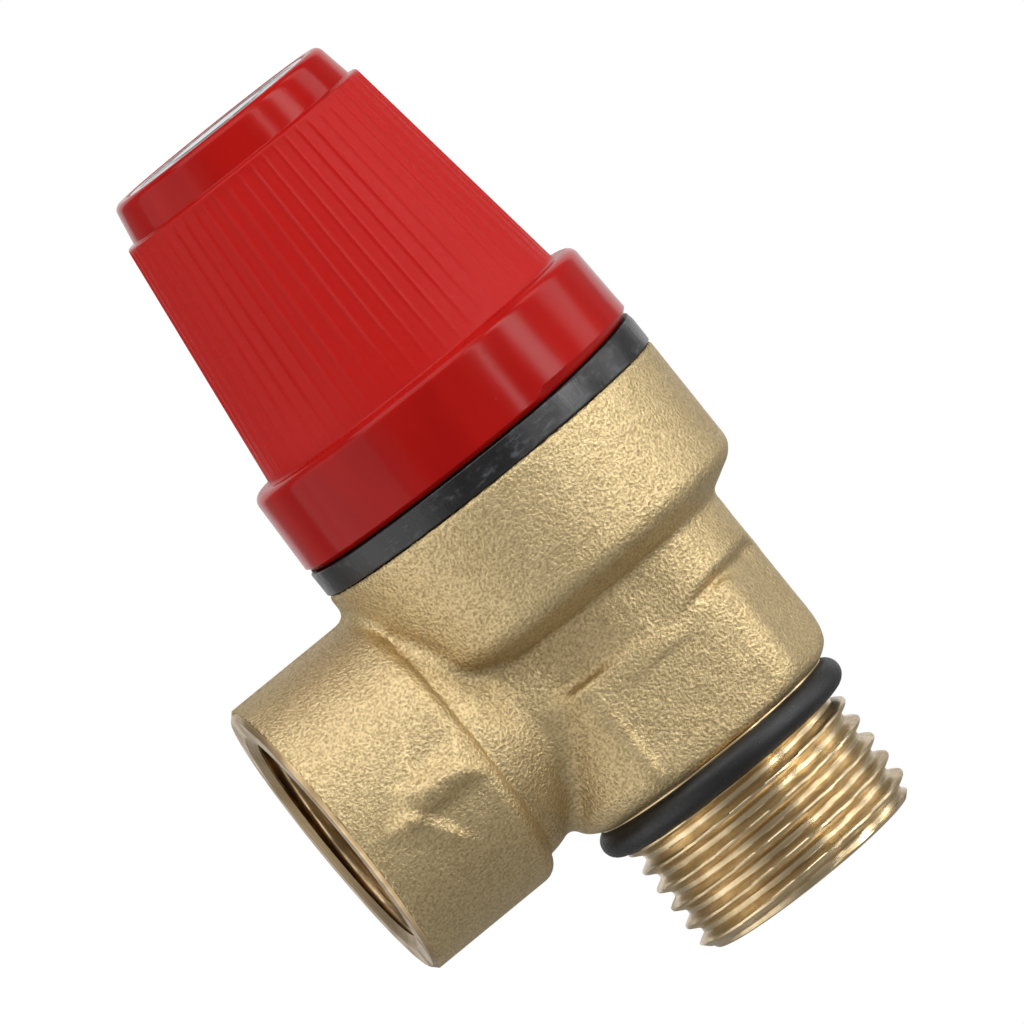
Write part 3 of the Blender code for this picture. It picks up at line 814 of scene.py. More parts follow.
@dataclass
class ForgedBody:
    """Shot-blasted forging and its two machined ends. Sizes in millimetres."""

    grid: float = 0.32
    bowl_under_z: float = 28.5
    bowl_top_z: float = 40.62
    bowl_round: float = 0.9
    bowl_bore: float = 13.6
    ledge_z: float = 31.0
    bowl_slope: float = 0.55
    bowl_slope_r: float = 12.9
    neck_r: float = 11.0
    neck_top_z: float = 31.0
    neck_overlap: float = 1.8
    lobe_r: float = 12.6
    lobe_bottom_z: float = 22.85
    lobe_slope: float = 1.2
    lobe_point: float = 1.5
    foot_r: float = 12.6
    foot_half: float = 11.0
    foot_wear: float = 0.65
    foot_bevel_r: float = 11.3
    slant_half: float = 11.7
    ear: float = 0.2
    dish: float = 0.25
    dish_half: float = 5.9
    dish_bottom_z: float = 16.5
    dish_top_z: float = 23.2
    foot_top_z: float = 23.65
    shoulder_z: float = 12.7
    outlet_z: float = 25.6
    boss_r: float = 12.85
    boss_back: float = 15.5
    boss_end: float = 27.8
    branch_r: float = 11.2
    branch_start: float = 12.6
    tube_r: float = 10.35
    tube_half: float = 9.4
    chamber_r: float = 9.2
    chamber_floor_z: float = 18.2
    seat_z: float = 20.2
    seat_r: float = 7.5
    bore_r: float = 6.0
    port_r: float = 4.8
    port_start: float = 6.2
    socket_slope: float = 2.05
    thread_end: float = 16.4
    rim_r: float = 12.8
    rim_bevel: float = 0.4
    sink_r: float = 10.7
    sink_slope: float = 2.4
    groove_r: float = 9.0
    groove_bottom_z: float = 10.8
    groove_top_z: float = 11.2
    arrow_tip: float = 25.7
    arrow_back: float = 20.8
    arrow_end: float = 16.8
    arrow_z: float = 24.3
    arrow_half: float = 4.1
    arrow_sweep: float = 0.35
    thread: Thread = field(default_factory=Thread)

    def __post_init__(self) -> None:
        """Take the reach of the bowl and the outlet from the frame."""
        low, high = (np.array(corner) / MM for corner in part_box("valve_body"))
        self.bowl_r = float(high[1])
        self.reach = float(-low[0]) - 0.05

    def foot(self, at: Places) -> Array:
        """Worn round base with two spanner flats and slanting faces away from the outlet.

        Args:
            at: x, y and z of the places.

        Returns:
            The signed distance, negative inside.
        """
        x, y, z = at
        radius = np.hypot(x, y)
        away = step_between(x, -2.0, 2.0)
        slanting = math.sqrt(0.75) * x + 0.5 * np.abs(y) - self.slant_half
        ear = self.ear * (1.0 - step_between(x, -6.0, -2.0))
        sides = meet(radius - self.foot_r - ear, slanting, 0.5)
        dish = self.dish * step_between(self.dish_half - np.abs(x), 0.0, 0.7)
        dish = dish * (1.0 - step_between(z, self.dish_bottom_z, self.dish_top_z))
        shape = meet(sides, np.abs(y) - self.foot_half + dish, 0.4 + 1.5 * away)
        shape = meet(shape, z - self.foot_top_z + self.foot_wear * away, 0.6)
        shape = meet(shape, self.shoulder_z - z, 1.0)
        bevel = radius - self.foot_bevel_r - (z - self.shoulder_z)
        return meet(shape, bevel * math.sqrt(0.5), 0.8)

    def neck(self, at: Places) -> Array:
        """Round neck, with a lobe on the side away from the outlet.

        Args:
            at: x, y and z of the places.

        Returns:
            The signed distance, negative inside.
        """
        x, y, z = at
        radius = np.hypot(x, y)
        lobe = meet(radius - self.lobe_r, np.abs(y) - self.foot_half, 1.0)
        lobe = np.maximum(lobe, -x)
        point = self.lobe_point * (1.0 - step_between(np.abs(y), 1.0, 5.0))
        under = (radius - self.neck_r) - (z - self.lobe_bottom_z) * self.lobe_slope - point
        lobe = meet(lobe, under * 0.62, 0.25)
        sides = join(radius - self.neck_r, lobe, 0.2)
        closed = self.foot_top_z - self.neck_overlap - z
        return np.maximum(meet(sides, z - self.neck_top_z, 0.5), closed)

    def bowl(self, at: Places) -> Array:
        """Wide cup under the black flange.

        Args:
            at: x, y and z of the places.

        Returns:
            The signed distance, negative inside.
        """
        x, y, z = at
        radius = np.hypot(x, y)
        cone = self.bowl_under_z + self.bowl_slope * (radius - self.bowl_slope_r) - z
        under = meet(cone / math.hypot(1.0, self.bowl_slope), self.bowl_under_z - z, 0.3)
        shape = meet(radius - self.bowl_r, under, self.bowl_round)
        return meet(shape, z - self.bowl_top_z, 0.3)

    def outlet(self, at: Places) -> Array:
        """Outlet branch: port tube, flare and threaded boss.

        Args:
            at: x, y and z of the places.

        Returns:
            The signed distance, negative inside.
        """
        x, y, z = at
        out, up = -x, z - self.outlet_z
        radius = np.hypot(y, up)
        tube = np.hypot(y * self.tube_r / self.tube_half, up) - self.tube_r
        tube = np.maximum(tube, out - self.boss_back - 1.0)
        tube = np.maximum(tube, -out)
        branch = meet(radius - self.branch_r, self.branch_start - out, 3.2)
        branch = np.maximum(branch, out - self.boss_back - 2.0)
        boss = meet(radius - self.boss_r, self.boss_back - out, 1.5)
        boss = meet(boss, out - self.boss_end, 0.1)
        return join(join(tube, branch, 2.4), boss, 0.3)

    def flow_arrow(self, at: Places) -> Array:
        """How far the worn, roof-shaped arrow on the boss stands out, pointing to the mouth.

        Args:
            at: x, y and z of the places.

        Returns:
            The height over the boss.
        """
        x, y, z = at
        slope = self.arrow_half / (self.arrow_tip - self.arrow_back)
        off_axis = np.abs(z - self.arrow_z)
        wedge = (off_axis - slope * (x + self.arrow_tip)) / math.hypot(1.0, slope)
        sweep = self.arrow_sweep * (self.arrow_half - off_axis)
        head = np.maximum(wedge, x + self.arrow_back + sweep)
        across = np.abs(z - self.arrow_z - 0.8) - 1.6
        along = np.maximum(-self.arrow_back - 2.5 - x, x + self.arrow_end)
        inside = -join(head, np.maximum(across, along), 0.5)
        worn = 1.0 + 0.5 * smooth_noise(np.stack(at, axis=-1), 1.5, 11)
        return worn * step_between(inside, -0.8, 1.7) * (y < 0.0)

    def outside(self, at: Places) -> Array:
        """The whole forging before it is machined, with its parting line and uneven skin.

        Args:
            at: x, y and z of the places.

        Returns:
            The signed distance, negative inside.
        """
        x, y, z = at
        shape = join(self.neck(at), self.foot(at), 0.7)
        shape = join(self.bowl(at), shape, 0.9)
        shape = join(shape, self.outlet(at), 1.2)
        points = np.stack(at, axis=-1)
        flash = 0.14 * np.exp(-((y / 0.55) ** 2)) * step_between(z, 14.0, 16.0)
        flash = flash * (1.0 - step_between(z, 27.0, 29.0) * (x > -14.0))
        uneven = 0.05 * smooth_noise(points, 1.5, 3) + 0.05 * smooth_noise(points, 4.5, 5)
        uneven = uneven * step_between(self.bowl_r - np.hypot(x, y), -0.2, 0.8)
        return shape - flash - uneven - self.flow_arrow(at)

    def hollow(self, at: Places) -> Array:
        """Everything machined away inside.

        Args:
            at: x, y and z of the places.

        Returns:
            The signed distance, negative inside.
        """
        x, y, z = at
        radius = np.hypot(x, y)
        cup = np.maximum(radius - self.bowl_bore, self.ledge_z - z)
        chamber = np.maximum(radius - self.chamber_r, self.chamber_floor_z - z)
        lip = np.maximum(np.maximum(radius - self.seat_r, z - self.seat_z), self.bore_r - radius)
        bore = np.maximum(radius - self.bore_r, z - self.seat_z - 1.0)
        inside = np.minimum(np.minimum(cup, np.maximum(chamber, -lip)), bore)
        out = -x
        radius = np.hypot(y, z - self.outlet_z)
        socket = np.maximum(radius - self.thread.outer - 0.3, self.thread_end - out)
        cone = radius + (self.thread_end - out) * self.socket_slope - self.thread.inner
        cone = cone / math.hypot(1.0, self.socket_slope)
        cone = np.maximum(cone, out - self.thread_end - 0.3)
        port = np.maximum(radius - self.port_r, self.port_start - out)
        return np.minimum(inside, np.minimum(np.minimum(socket, cone), port))

    def solid(self, points: Array) -> Array:
        """Signed distance to the machined forging, negative inside."""
        at = points[..., 0], points[..., 1], points[..., 2]
        return np.maximum(self.outside(at), -self.hollow(at))

    def settle(self, points: Array) -> Array:
        """Move points onto the surface along its slope.

        Args:
            points: places near the surface.

        Returns:
            The places on it.
        """
        probe, rounds, least = 0.04, 2, 0.25
        for _ in range(rounds):
            distance = self.solid(points)
            slope = np.zeros_like(points)
            for axis in range(3):
                shift = np.zeros(3)
                shift[axis] = probe
                change = self.solid(points + shift) - self.solid(points - shift)
                slope[:, axis] = change / (2.0 * probe)
            steep = np.maximum((slope * slope).sum(axis=1), least)
            move = slope * (distance / steep)[:, None]
            points = points - np.clip(move, -0.5 * self.grid, 0.5 * self.grid)
        return points

    def forging(self) -> Any:
        """The forging, with its bored faces given the machined finish.

        Returns:
            The piece.
        """
        margin = 1.0
        low = np.array([-self.reach, -self.bowl_r, self.shoulder_z]) - margin
        high = np.array([self.bowl_r, self.bowl_r, self.bowl_top_z]) + margin
        counts = np.ceil((high - low) / self.grid).astype(int)
        ranges = [low[axis] + self.grid * np.arange(counts[axis]) for axis in range(3)]
        grid = np.stack(np.meshgrid(*ranges, indexing="ij"), axis=-1)
        points, quads = surface_of(self.solid(grid), low, self.grid)
        points = self.settle(points)
        item = add_mesh("forged_body", points, quads.tolist(), BlastedBrass().material())
        item.data.materials.append(MachinedBrass(Axis.MAIN).material())
        middle = tuple(points[quads].mean(axis=1).T)
        bored = np.abs(self.hollow(middle)) < np.abs(self.outside(middle))
        item.data.polygons.foreach_set("material_index", bored.astype(np.int32))
        return item

    def inlet(self) -> Any:
        """Male inlet: bevelled end, thread, relief groove and bored middle.

        Returns:
            The piece.
        """
        top, bottom = self.shoulder_z + 0.15, self.shoulder_z - 0.05
        shoulder_r, stub_r, bore = 10.9, self.groove_r + 0.4, self.bore_r - 0.05
        outline = rounded_outline(
            [
                (shoulder_r, top, 0.05),
                (shoulder_r, bottom, 0.08),
                (self.groove_r, bottom, 0.3),
                (self.groove_r, self.groove_top_z, 0.0),
                (stub_r, self.groove_bottom_z, 0.0),
                (stub_r, 0.0, 0.0),
                (self.bore_r + 0.3, 0.0, 0.0),
                (bore, 0.35, 0.0),
                (bore, top, 0.0),
            ],
            self.thread.row_step,
        )

        def cut(angle: Array, radius: Array, height: Array) -> tuple[Array, Array]:
            """Cut the thread into the stub's outside.

            Args:
                angle: turn about the main axis, in radians.
                radius: radius of the plain section.
                height: height of the plain section.

            Returns:
                The radius and height with the thread.
            """
            crest = self.thread.radius(angle, height)
            crest = np.minimum(crest, self.thread.outer - 1.0 + height)
            run_out = step_between(height, self.groove_bottom_z - 0.55, self.groove_bottom_z)
            crest = crest + (self.groove_r - crest) * run_out
            outer = (radius > self.groove_r + 0.2) & (height < self.groove_bottom_z + 0.05)
            return np.where(outer, np.maximum(crest, self.groove_r), radius), height

        finish = MachinedBrass(Axis.MAIN, roughness=0.25).material()
        return turned("inlet_thread", outline, self.thread.columns, finish, cut)

    def outlet_mouth(self) -> Any:
        """Female outlet: machined rim, countersink and thread.

        Returns:
            The piece.
        """
        root, skirt_r = self.thread.outer + 0.45, self.rim_r - self.rim_bevel
        skirt, deep = self.reach - 0.9, self.thread_end + 0.1
        outline = rounded_outline(
            [
                (skirt_r, self.reach, 0.12),
                (self.rim_r, self.reach - self.rim_bevel, 0.1),
                (skirt_r, skirt, 0.0),
                (root, skirt, 0.0),
                (root, deep, 0.0),
                (self.thread.inner, deep, 0.0),
                (self.thread.inner, self.reach - 0.55, 0.0),
                (self.sink_r, self.reach, 0.1),
            ],
            self.thread.row_step,
        )

        def cut(angle: Array, radius: Array, height: Array) -> tuple[Array, Array]:
            """Cut the thread and the countersink into the socket's inside.

            Args:
                angle: turn about the socket's axis, in radians.
                radius: radius of the plain section.
                height: distance out along the axis.

            Returns:
                The radius and distance with the thread.
            """
            thread = self.thread.radius(angle, height)
            run_out = step_between(height, self.thread_end, self.thread_end + 1.6)
            thread = self.thread.inner + (thread - self.thread.inner) * run_out
            inner = radius < self.thread.inner + 0.01
            sink = self.sink_r - self.sink_slope * (self.reach - height)
            return np.where(inner, np.maximum(thread, sink), radius), height

        finish = MachinedBrass(
            Axis.OUTLET, light=(0.66, 0.49, 0.28), dark=(0.36, 0.25, 0.13), roughness=0.3
        ).material()
        item = turned("outlet_thread", outline, self.thread.columns, finish, cut)
        turn = np.array([[0.0, 0.0, -1.0], [0.0, 1.0, 0.0], [1.0, 0.0, 0.0]])
        points = np.array([vertex.co for vertex in item.data.vertices]) @ turn.T
        points[:, 2] += self.outlet_z * MM
        item.data.vertices.foreach_set("co", points.ravel())
        item.data.update()
        return item

    def build(self) -> list[Any]:
        """Build and place the body's pieces.

        Returns:
            The pieces.
        """
        pieces = [self.forging(), self.inlet(), self.outlet_mouth()]
        for piece in pieces:
            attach(piece, "housing")
            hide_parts("valve_body")
        return pieces


@dataclass
class SealingRing:
    """Rubber ring under the base. Sizes in millimetres."""

    section_r: float = 1.25
    centre_r: float = 10.55
    centre_z: float = 11.48
    flattened: float = 0.98
    round_points: int = 28
    columns: int = 120

    def build(self) -> list[Any]:
        """Build the ring, a little flattened against the shoulder.

        Returns:
            The ring, as the only piece.
        """
        turn = np.linspace(0.0, -2.0 * math.pi, self.round_points, endpoint=False) + 0.5 * math.pi
        radius = self.centre_r + self.section_r * np.cos(turn)
        height = self.centre_z + self.section_r * self.flattened * np.sin(turn)
        outline = np.stack([radius, height], axis=-1)
        item = turned("sealing_ring", outline, self.columns, SealRubber().material())
        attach(item, "housing")
        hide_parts("inlet_sealing_ring")
        return [item]


@dataclass(frozen=True)
class Cam:
    """Two ramps that lift the knob as it turns."""

    rise: float = 0.65
    starts_deg: tuple[float, float] = (-75.0, 75.0)
    span_deg: float = 90.0

    def share(self, angle: Array, play_deg: float = 0.0) -> Array:
        """How far along a ramp each angle lies, from 0 to 1, or below 0 between ramps.

        Args:
            angle: the angles, in radians.
            play_deg: how far the high end runs on.

        Returns:
            The shares.
        """
        found = np.full_like(angle, -1.0)
        for start in self.starts_deg:
            along = np.mod(np.degrees(angle) - start, 360.0)
            inside = along <= self.span_deg + play_deg
            found = np.where(inside, np.minimum(along / self.span_deg, 1.0), found)
        return found


@dataclass
class Bonnet:
    """Black moulded flange, its skirt in the bowl and its tower in the knob. Millimetres."""

    cam: Cam
    columns: int = 360
    edge: float = 0.14
    flange_top: float = 42.85
    flange_under: float = 40.68
    register_z: float = 45.5
    register_r: float = 13.6
    skirt_r: float = 13.3
    skirt_bore: float = 10.4
    tower_r: float = 9.0
    tower_bore: float = 7.4

    def build(self) -> list[Any]:
        """Build the bonnet with its ramps.

        Returns:
            The bonnet, as the only piece.
        """
        low, high = (np.array(corner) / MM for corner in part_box("bonnet"))
        flange_r, bottom, tower_top = float(high[0]), float(low[2]), float(high[2])
        top, under, register = self.flange_top, self.flange_under, self.register_z
        outline = rounded_outline(
            [
                (self.tower_r, tower_top, 0.4),
                (self.tower_r, register + 1.6, 0.5),
                (self.register_r - 1.2, register, 0.3),
                (self.register_r, register - 0.6, 0.3),
                (self.register_r, top, 0.2),
                (flange_r, top, self.edge),
                (flange_r, under, self.edge),
                (self.skirt_r, under, 0.1),
                (self.skirt_r, bottom, 0.3),
                (self.skirt_bore, bottom, 0.2),
                (self.skirt_bore, top - 1.2, 0.4),
                (self.tower_bore, top + 1.8, 0.4),
                (self.tower_bore, tower_top, 0.4),
            ],
            0.6,
        )

        def ramp(angle: Array, radius: Array, height: Array) -> tuple[Array, Array]:
            """Raise the flange's top under the ramps.

            Args:
                angle: turn about the main axis, in radians.
                radius: radius of the plain section.
                height: height of the plain section.

            Returns:
                The radius and height with the ramps.
            """
            share = np.maximum(self.cam.share(angle), 0.0)
            on_top = (radius > self.register_r + 0.6) & (height > top - 0.3)
            lift = self.cam.rise * share * step_between(flange_r - radius, 0.0, self.edge)
            return radius, height + np.where(on_top, lift, 0.0)

        item = turned("bonnet_moulding", outline, self.columns, BlackMoulding().material(), ramp)
        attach(item, "housing")
        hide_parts("bonnet")
        return [item]


@dataclass
class TestKnob:
    """Red ribbed knob and its badge. Sizes in millimetres."""

    cam: Cam
    columns: int = 720
    ribs: int = 60
    rib_height: float = 0.1
    grip_bottom_z: float = 50.35
    grip_top_z: float = 71.6
    grip_bottom_r: float = 14.2
    grip_top_r: float = 11.4
    wall: float = 2.0
    cap_r: float = 10.75
    cap_bore: float = 8.9
    cap_floor_z: float = 70.7
    badge_floor_z: float = 73.8
    rim_bore: float = 14.0
    rim_bore_z: float = 48.2
    socket_r: float = 6.6
    socket_z: float = 66.3
    screw_r: float = 2.9
    screw_head_r: float = 4.8
    screw_head_z: float = 68.6
    rib_sharpness: float = 0.2
    play_deg: float = 1.6
    notch_skin: float = 0.5

    def __post_init__(self) -> None:
        """Take the outer sizes from the frame."""
        low, high = (np.array(corner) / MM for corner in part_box("knob"))
        self.collar_r = float(high[1])
        self.rim_z = float(low[2])
        self.top_z = float(high[2])

    def outline(self) -> Array:
        """Section of the knob, down the outside and up the inside.

        Returns:
            Its points, as radius and height.
        """
        return rounded_outline(
            [
                (self.cap_bore, self.top_z, 0.3),
                (self.cap_r - 0.6, self.top_z, 0.95),
                (self.cap_r, self.grip_top_z + 0.05, 0.2),
                (self.grip_top_r, self.grip_top_z, 0.3),
                (self.grip_bottom_r, self.grip_bottom_z, 0.35),
                (self.collar_r - 0.25, self.grip_bottom_z, 1.35),
                (self.collar_r, self.rim_z + 0.42, 0.12),
                (self.collar_r - 0.55, self.rim_z, 0.12),
                (self.rim_bore, self.rim_z, 0.25),
                (self.rim_bore, self.rim_bore_z, 0.4),
                (self.grip_bottom_r - self.wall, self.grip_bottom_z, 0.4),
                (self.grip_top_r - self.wall, self.cap_floor_z, 0.8),
                (self.socket_r, self.cap_floor_z, 0.5),
                (self.socket_r, self.socket_z, 0.3),
                (self.screw_r, self.socket_z, 0.2),
                (self.screw_r, self.screw_head_z, 0.1),
                (self.screw_head_r, self.screw_head_z, 0.1),
                (self.screw_head_r, self.badge_floor_z, 0.1),
                (self.cap_bore, self.badge_floor_z, 0.1),
            ],
            0.42,
        )

    def shape(self, angle: Array, radius: Array, height: Array) -> tuple[Array, Array]:
        """Raise the grip's ribs and cut the rim's notches.

        Args:
            angle: turn about the main axis, in radians.
            radius: radius of the plain section.
            height: height of the plain section.

        Returns:
            The radius and height with ribs and notches.
        """
        phase = angle * self.ribs / (2.0 * math.pi)
        from_crest = np.abs(phase - np.round(phase)) * 2.0
        rib = np.exp(-((from_crest / self.rib_sharpness) ** 2))
        stretched = np.stack([angle * 12.0, height * 0.12, height * 0.0], axis=-1)
        worn = smooth_noise(stretched, 1.0, 21)
        share = (height - self.grip_bottom_z) / (self.grip_top_z - self.grip_bottom_z)
        strength = step_between(share, -0.02, 0.3) * 0.75 + 0.25
        ends = step_between(share, 0.012, 0.04) * (1.0 - step_between(share, 0.965, 0.995))
        grip = (radius > self.grip_top_r - 0.3) & (share > 0.0) & (share < 1.0)
        valley = self.rib_height * strength * (1.0 + 0.3 * worn) * ends
        radius = np.where(grip, radius - valley * (1.0 - rib), radius)
        share = self.cam.share(angle, self.play_deg)
        inner_lift = self.cam.rise * np.maximum(share, 0.0)
        skin_lift = self.notch_skin * step_between(share, 0.0, 0.05)
        skin = step_between(height, self.rim_z + 0.25, self.rim_z + 0.4)
        lift = inner_lift + (np.maximum(inner_lift, skin_lift) - inner_lift) * skin
        squeeze = 1.0 - step_between(height, self.rim_z + 0.5, self.rim_z + 2.6)
        return radius, height + lift * squeeze * (radius > self.rim_bore - 0.5)

    def shell(self) -> Any:
        """The knob's moulding."""
        finish = RedMoulding(self.grip_bottom_z, self.grip_top_z).material()
        return turned("knob_shell", self.outline(), self.columns, finish, self.shape)

    def badge(self) -> Any:
        """Silver disc in the cap, slightly crowned.

        Returns:
            The piece.
        """
        low, high = (np.array(corner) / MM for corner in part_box("knob_badge"))
        radius, top, bottom = float(high[0]), float(high[2]), float(low[2])
        pinhole, ring_inner, ring_outer = 0.02, 4.4, 7.5
        outline = rounded_outline(
            [
                (pinhole, top - 0.02, 0.0),
                (ring_inner - 0.1, top - 0.04, 0.0),
                (ring_inner + 0.1, top - 0.16, 0.0),
                (ring_outer - 0.1, top - 0.18, 0.0),
                (ring_outer + 0.1, top - 0.05, 0.0),
                (radius, top - 0.05, 0.12),
                (radius, bottom, 0.1),
                (pinhole, bottom, 0.0),
            ],
            0.6,
        )
        return turned("badge_disc", outline, 96, BadgeFoil().material())

    def build(self) -> list[Any]:
        """Build and place the knob's pieces.

        Returns:
            The pieces.
        """
        shell, badge = self.shell(), self.badge()
        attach(shell, "knob_group")
        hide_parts("knob")
        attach(badge, "knob_group")
        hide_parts("knob_badge")
        return [shell, badge]


@dataclass
class LoadPack:
    """Spring and diaphragm, whose middle follows the stem. Sizes in millimetres."""

    wire_r: float = 1.1
    mean_r: float = 5.7
    active_turns: int = 4
    end_turns_gap: float = 1.08
    lift: float = 1.2
    round_points: int = 14
    steps_per_turn: int = 44
    sheet: float = 1.2
    fold_outer_r: float = 9.4
    fold_inner_r: float = 6.5
    clearance: float = 0.06
    stem_hole_r: float = 3.5
    columns: int = 96

    def coil(self, bottom: float, top: float) -> Array:
        """Points of the compression spring, ring by ring, its end turns closed and ground.

        Args:
            bottom: height of the lower ground end.
            top: height of the upper one.

        Returns:
            The points, by ring and place round the wire.
        """
        count = (self.active_turns + 2) * self.steps_per_turn
        turn = np.linspace(0.0, self.active_turns + 2.0, count + 1)
        closed = self.closed_turn()
        start, end = bottom + self.wire_r, top - self.wire_r
        open_pitch = (end - start - 2.0 * closed) / self.active_turns
        rise = np.clip(turn, 0.0, 1.0) * closed
        rise += np.clip(turn - 1.0, 0.0, self.active_turns) * open_pitch
        rise += np.clip(turn - 1.0 - self.active_turns, 0.0, 1.0) * closed
        angle = (2.0 * math.pi * turn)[:, None]
        around = np.linspace(0.0, 2.0 * math.pi, self.round_points, endpoint=False)[None, :]
        radius = self.mean_r + self.wire_r * np.cos(around) + 0.0 * angle
        height = np.clip(start + rise[:, None] + self.wire_r * np.sin(around), bottom, top)
        return np.stack([radius * np.cos(angle), radius * np.sin(angle), height], axis=-1)

    def closed_turn(self) -> float:
        """Height of a closed end turn."""
        return 2.0 * self.wire_r * self.end_turns_gap

    def spring(self) -> list[Any]:
        """Both halves of the spring, meeting at mid height.

        Returns:
            The halves.
        """
        low, high = (np.array(corner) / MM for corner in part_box("spring"))
        bottom, top = float(low[2]), float(high[2])
        points = self.coil(bottom, top)
        middle, joint = len(points) // 2, (bottom + top) / 2.0
        steel = PlatedSteel("spring_wire", (0.34, 0.35, 0.37), 0.34).material()
        clear = 2.0 * self.closed_turn()
        lower = ("knob_lift_washer", "stem_group", joint - 2.0 * self.wire_r, bottom + clear)
        upper = ("housing", "knob_lift_washer", top - clear, joint + 2.0 * self.wire_r)
        halves = []
        for name, rings, (still, moving, start, end) in (
            ("spring_lower_half", points[: middle + 1], lower),
            ("spring_upper_half", points[middle:], upper),
        ):
            number = np.arange(len(rings) * self.round_points).reshape(len(rings), -1)
            after = np.roll(number, -1, axis=1)
            corners = number[:-1], number[1:], after[1:], after[:-1]
            quads = np.stack(corners, axis=-1).reshape(-1, 4)[:, ::-1].tolist()
            caps = [number[0].tolist(), number[-1][::-1].tolist()]
            item = add_mesh(name, rings.reshape(-1, 3), quads + caps, steel)
            start * MM
            end * MM
            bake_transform(item)
            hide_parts("spring")
            halves.append(item)
        return halves

    def diaphragm(self) -> list[Any]:
        """Moulded diaphragm: the rim with its fold, and the middle clamped to the stem.

        Returns:
            The fold and the middle.
        """
        low, high = (np.array(corner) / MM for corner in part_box("diaphragm"))
        bottom, top, rim_r = float(low[2]), float(high[2]), float(high[0])
        rim_bottom, middle_top = top - self.sheet, bottom + self.sheet
        inner_r = self.fold_inner_r + self.clearance
        fold = rounded_outline(
            [
                (rim_r, top, 0.25),
                (rim_r, rim_bottom, 0.25),
                (self.fold_outer_r, rim_bottom, 0.9),
                (inner_r, bottom, 0.1),
                (inner_r, middle_top, 0.1),
                (self.fold_outer_r, top, 0.9),
            ],
            0.5,
        )
        middle = rounded_outline(
            [
                (self.fold_inner_r, bottom, 0.1),
                (self.stem_hole_r, bottom, 0.15),
                (self.stem_hole_r, middle_top, 0.15),
                (self.fold_inner_r, middle_top, 0.1),
            ],
            0.5,
        )
        pieces = []
        for name, outline, body in (
            ("diaphragm_fold", fold, "housing"),
            ("diaphragm_middle", middle, "stem_group"),
        ):
            item = turned(name, outline, self.columns, SealRubber().material())
            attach(item, body)
            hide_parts("diaphragm")
            pieces.append(item)
        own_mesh(pieces[0])
        return pieces

    def build(self) -> list[Any]:
        """Build the spring and the diaphragm."""
        return self.spring() + self.diaphragm()


@dataclass
class InnerParts:
    """The turned and plated pieces inside, which keep the frame's own shapes."""

    brass: tuple[str, ...] = (
        "slip_ring",
        "adjusting_nut",
        "stem",
        "disc_holder",
        "diaphragm_washer",
        "spring_plate",
    )
    steel: tuple[str, ...] = (
        "upper_spring_seat",
        "knob_washer",
        "disc_screw",
        "disc_washer",
        "knob_screw",
    )
    rubber: tuple[str, ...] = ("seal_disc",)

    def build(self) -> list[Any]:
        """Give each piece its finish.

        Returns:
            The pieces.
        """
        zinc = PlatedSteel("zinc_plate", (0.62, 0.63, 0.65), 0.26).material()
        finishes = (
            (self.brass, MachinedBrass(Axis.MAIN, roughness=0.24).material()),
            (self.steel, zinc),
            (self.rubber, SealRubber().material()),
        )
        pieces = []
        for names, material in finishes:
            for name in names:
                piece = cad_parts[name]
                piece.data.materials.clear()
                piece.data.materials.append(material)
                pieces.append(piece)
        return pieces


# ---------------------------------------------------------------- studio


def direction(azimuth_deg: float, elevation_deg: float) -> Vector:
    """Unit vector from the valve towards a place round it.

    Args:
        azimuth_deg: turn to the right of straight ahead, in degrees.
        elevation_deg: height above the level, in degrees.

    Returns:
        The vector.
    """
    across, up = math.radians(azimuth_deg), math.radians(elevation_deg)
    return Vector(
        (math.sin(across) * math.cos(up), -math.cos(across) * math.cos(up), math.sin(up))
    )


@dataclass(frozen=True)
class Softbox:
    """One flat lamp, turned towards the valve."""

    name: str
    azimuth: float
    elevation: float
    width: float
    height: float
    radiance: float
    distance: float = 0.6

    def build(self, target: Vector) -> None:
        """Add the lamp.

        Args:
            target: what it faces.
        """
        light = bpy.data.lights.new(self.name, "AREA")
        light.shape = "RECTANGLE"
        light.size = self.width
        light.size_y = self.height
        light.energy = self.radiance * math.pi * self.width * self.height
        item = add_item(self.name, light)
        towards = direction(self.azimuth, self.elevation)
        item.location = target + towards * self.distance
        item.rotation_euler = towards.to_track_quat("Z", "Y").to_euler()
        item.visible_camera = False


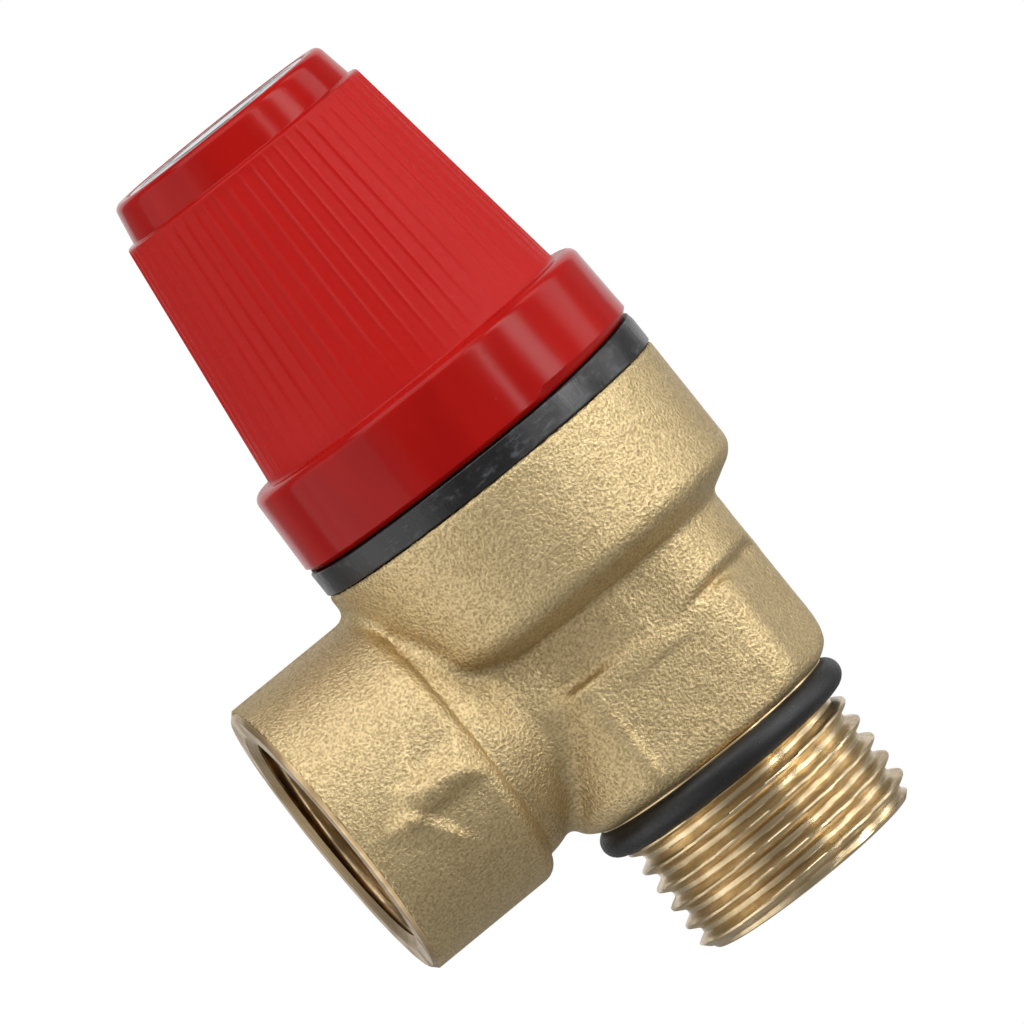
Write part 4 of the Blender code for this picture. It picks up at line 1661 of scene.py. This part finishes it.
@dataclass
class Studio:
    """Floor, surroundings, lamps and camera. Metres."""

    view_azimuth: float = -7.0
    view_elevation: float = 4.0
    lean: float = -38.7
    distance: float = 0.95
    width: float = 0.0802
    aim_across: float = -0.00075
    aim_up: float = 0.0368
    lamps_aim: float = 0.038
    floor_drop: float = 1.2
    floor_half: float = 1.6
    floor_rounding: float = 0.5
    floor_fall: float = 0.3
    floor_steps: int = 24
    room_heights: tuple[float, float] = (-0.9, 0.3)
    room_strengths: tuple[float, float] = (0.48, 0.27)

    def lamps(self) -> None:
        """Tall boxes on the right, a wide one on the left, and one above."""
        middle = Vector((0.0, 0.0, self.lamps_aim))
        boxes = (
            Softbox("strip", Side.STRIP.value, 14.0, 0.045, 0.75, 8.0),
            Softbox("window", Side.WINDOW.value, 14.0, 0.15, 0.75, 6.4),
            Softbox("right_wall", Side.RIGHT.value, 10.0, 0.2, 0.9, 2.2),
            Softbox("left_wall", Side.LEFT.value, 2.0, 0.75, 1.1, 0.8),
            Softbox("left_fill", Side.LEFT.value + 14.0, 2.0, 0.75, 1.0, 0.4),
            Softbox("ceiling", -20.0, 66.0, 0.7, 0.5, 2.4),
            Softbox("back_wall", Side.BACK.value, 14.0, 0.8, 0.6, 0.6),
        )
        for box in boxes:
            box.build(middle)

    def surroundings(self) -> None:
        """White to the eye, and a dim grey, paler from below, for everything else."""
        world = bpy.data.worlds.new("white_room")
        bpy.context.scene.world = world
        g = Graph(world)
        seen = g.node("ShaderNodeLightPath", {}, {}, "Is Camera Ray")
        height = g.parts(g.node("ShaderNodeTexCoord", {}, {}, "Generated"))[2]
        low, high = self.room_heights
        from_below, from_above = self.room_strengths
        levels = {0: height, 1: low, 2: high, 3: from_below, 4: from_above}
        strength = g.node("ShaderNodeMapRange", {}, levels)
        room = g.node("ShaderNodeBackground", {}, {"Strength": strength})
        white = g.node("ShaderNodeBackground", {}, {"Color": (1.0, 1.0, 1.0, 1.0)})
        mix = g.node("ShaderNodeMixShader", {}, {0: seen, 1: room, 2: white})
        g.node("ShaderNodeOutputWorld", {}, {"Surface": mix})

    def floor(self) -> None:
        """Pale paper, falling away at its corners, well below the valve."""
        steps, half = self.floor_steps, self.floor_half
        points = []
        for row, column in np.ndindex(steps + 1, steps + 1):
            x, y = (column / steps * 2.0 - 1.0) * half, (row / steps * 2.0 - 1.0) * half
            past = max(math.hypot(x, y) - half + self.floor_rounding, 0.0)
            points.append((x, y, -self.floor_drop - past * past * self.floor_fall))
        faces = []
        for row, column in np.ndindex(steps, steps):
            first = row * (steps + 1) + column
            faces.append((first, first + 1, first + steps + 2, first + steps + 1))
        paper = StudioPaper().material()
        item = add_mesh("studio_floor", np.array(points) / MM, faces, paper)
        item.visible_glossy = False
        item.visible_diffuse = False

    def camera(self) -> None:
        """Camera a metre off, leaning so that the knob points up and left."""
        back = direction(self.view_azimuth, self.view_elevation)
        upright = back.to_track_quat("Z", "Y")
        data = bpy.data.cameras.new("view")
        data.sensor_width = 36.0
        data.lens = data.sensor_width * self.distance / self.width
        data.clip_end = 20.0
        item = add_item("view", data)
        target = Vector((0.0, 0.0, self.aim_up)) + upright @ Vector((self.aim_across, 0.0, 0.0))
        item.location = target + back * self.distance
        item.rotation_mode = "QUATERNION"
        turn = Quaternion((0.0, 0.0, 1.0), math.radians(self.lean))
        item.rotation_quaternion = upright @ turn
        bpy.context.scene.camera = item

    def build(self) -> None:
        """Set the whole studio up."""
        bpy.context.scene.view_settings.view_transform = "Standard"
        self.surroundings()
        self.floor()
        self.lamps()
        self.camera()


def write_sizes() -> None:
    """Bring the scene's transforms up to date.
    """
    bpy.context.view_layer.update()


def main() -> None:
    """Build every sub-assembly and the studio."""
    logging.basicConfig(level=logging.INFO)
    cam = Cam()
    assemblies = (ForgedBody(), SealingRing(), Bonnet(cam), TestKnob(cam), LoadPack(), InnerParts())
    for assembly in assemblies:
        for piece in assembly.build():
            kind, faces = type(assembly).__name__, len(piece.data.polygons)
            LOG.info("%s: %s, %d faces", kind, piece.name, faces)
    Studio().build()
    write_sizes()


if __name__ == "__main__":
    main()
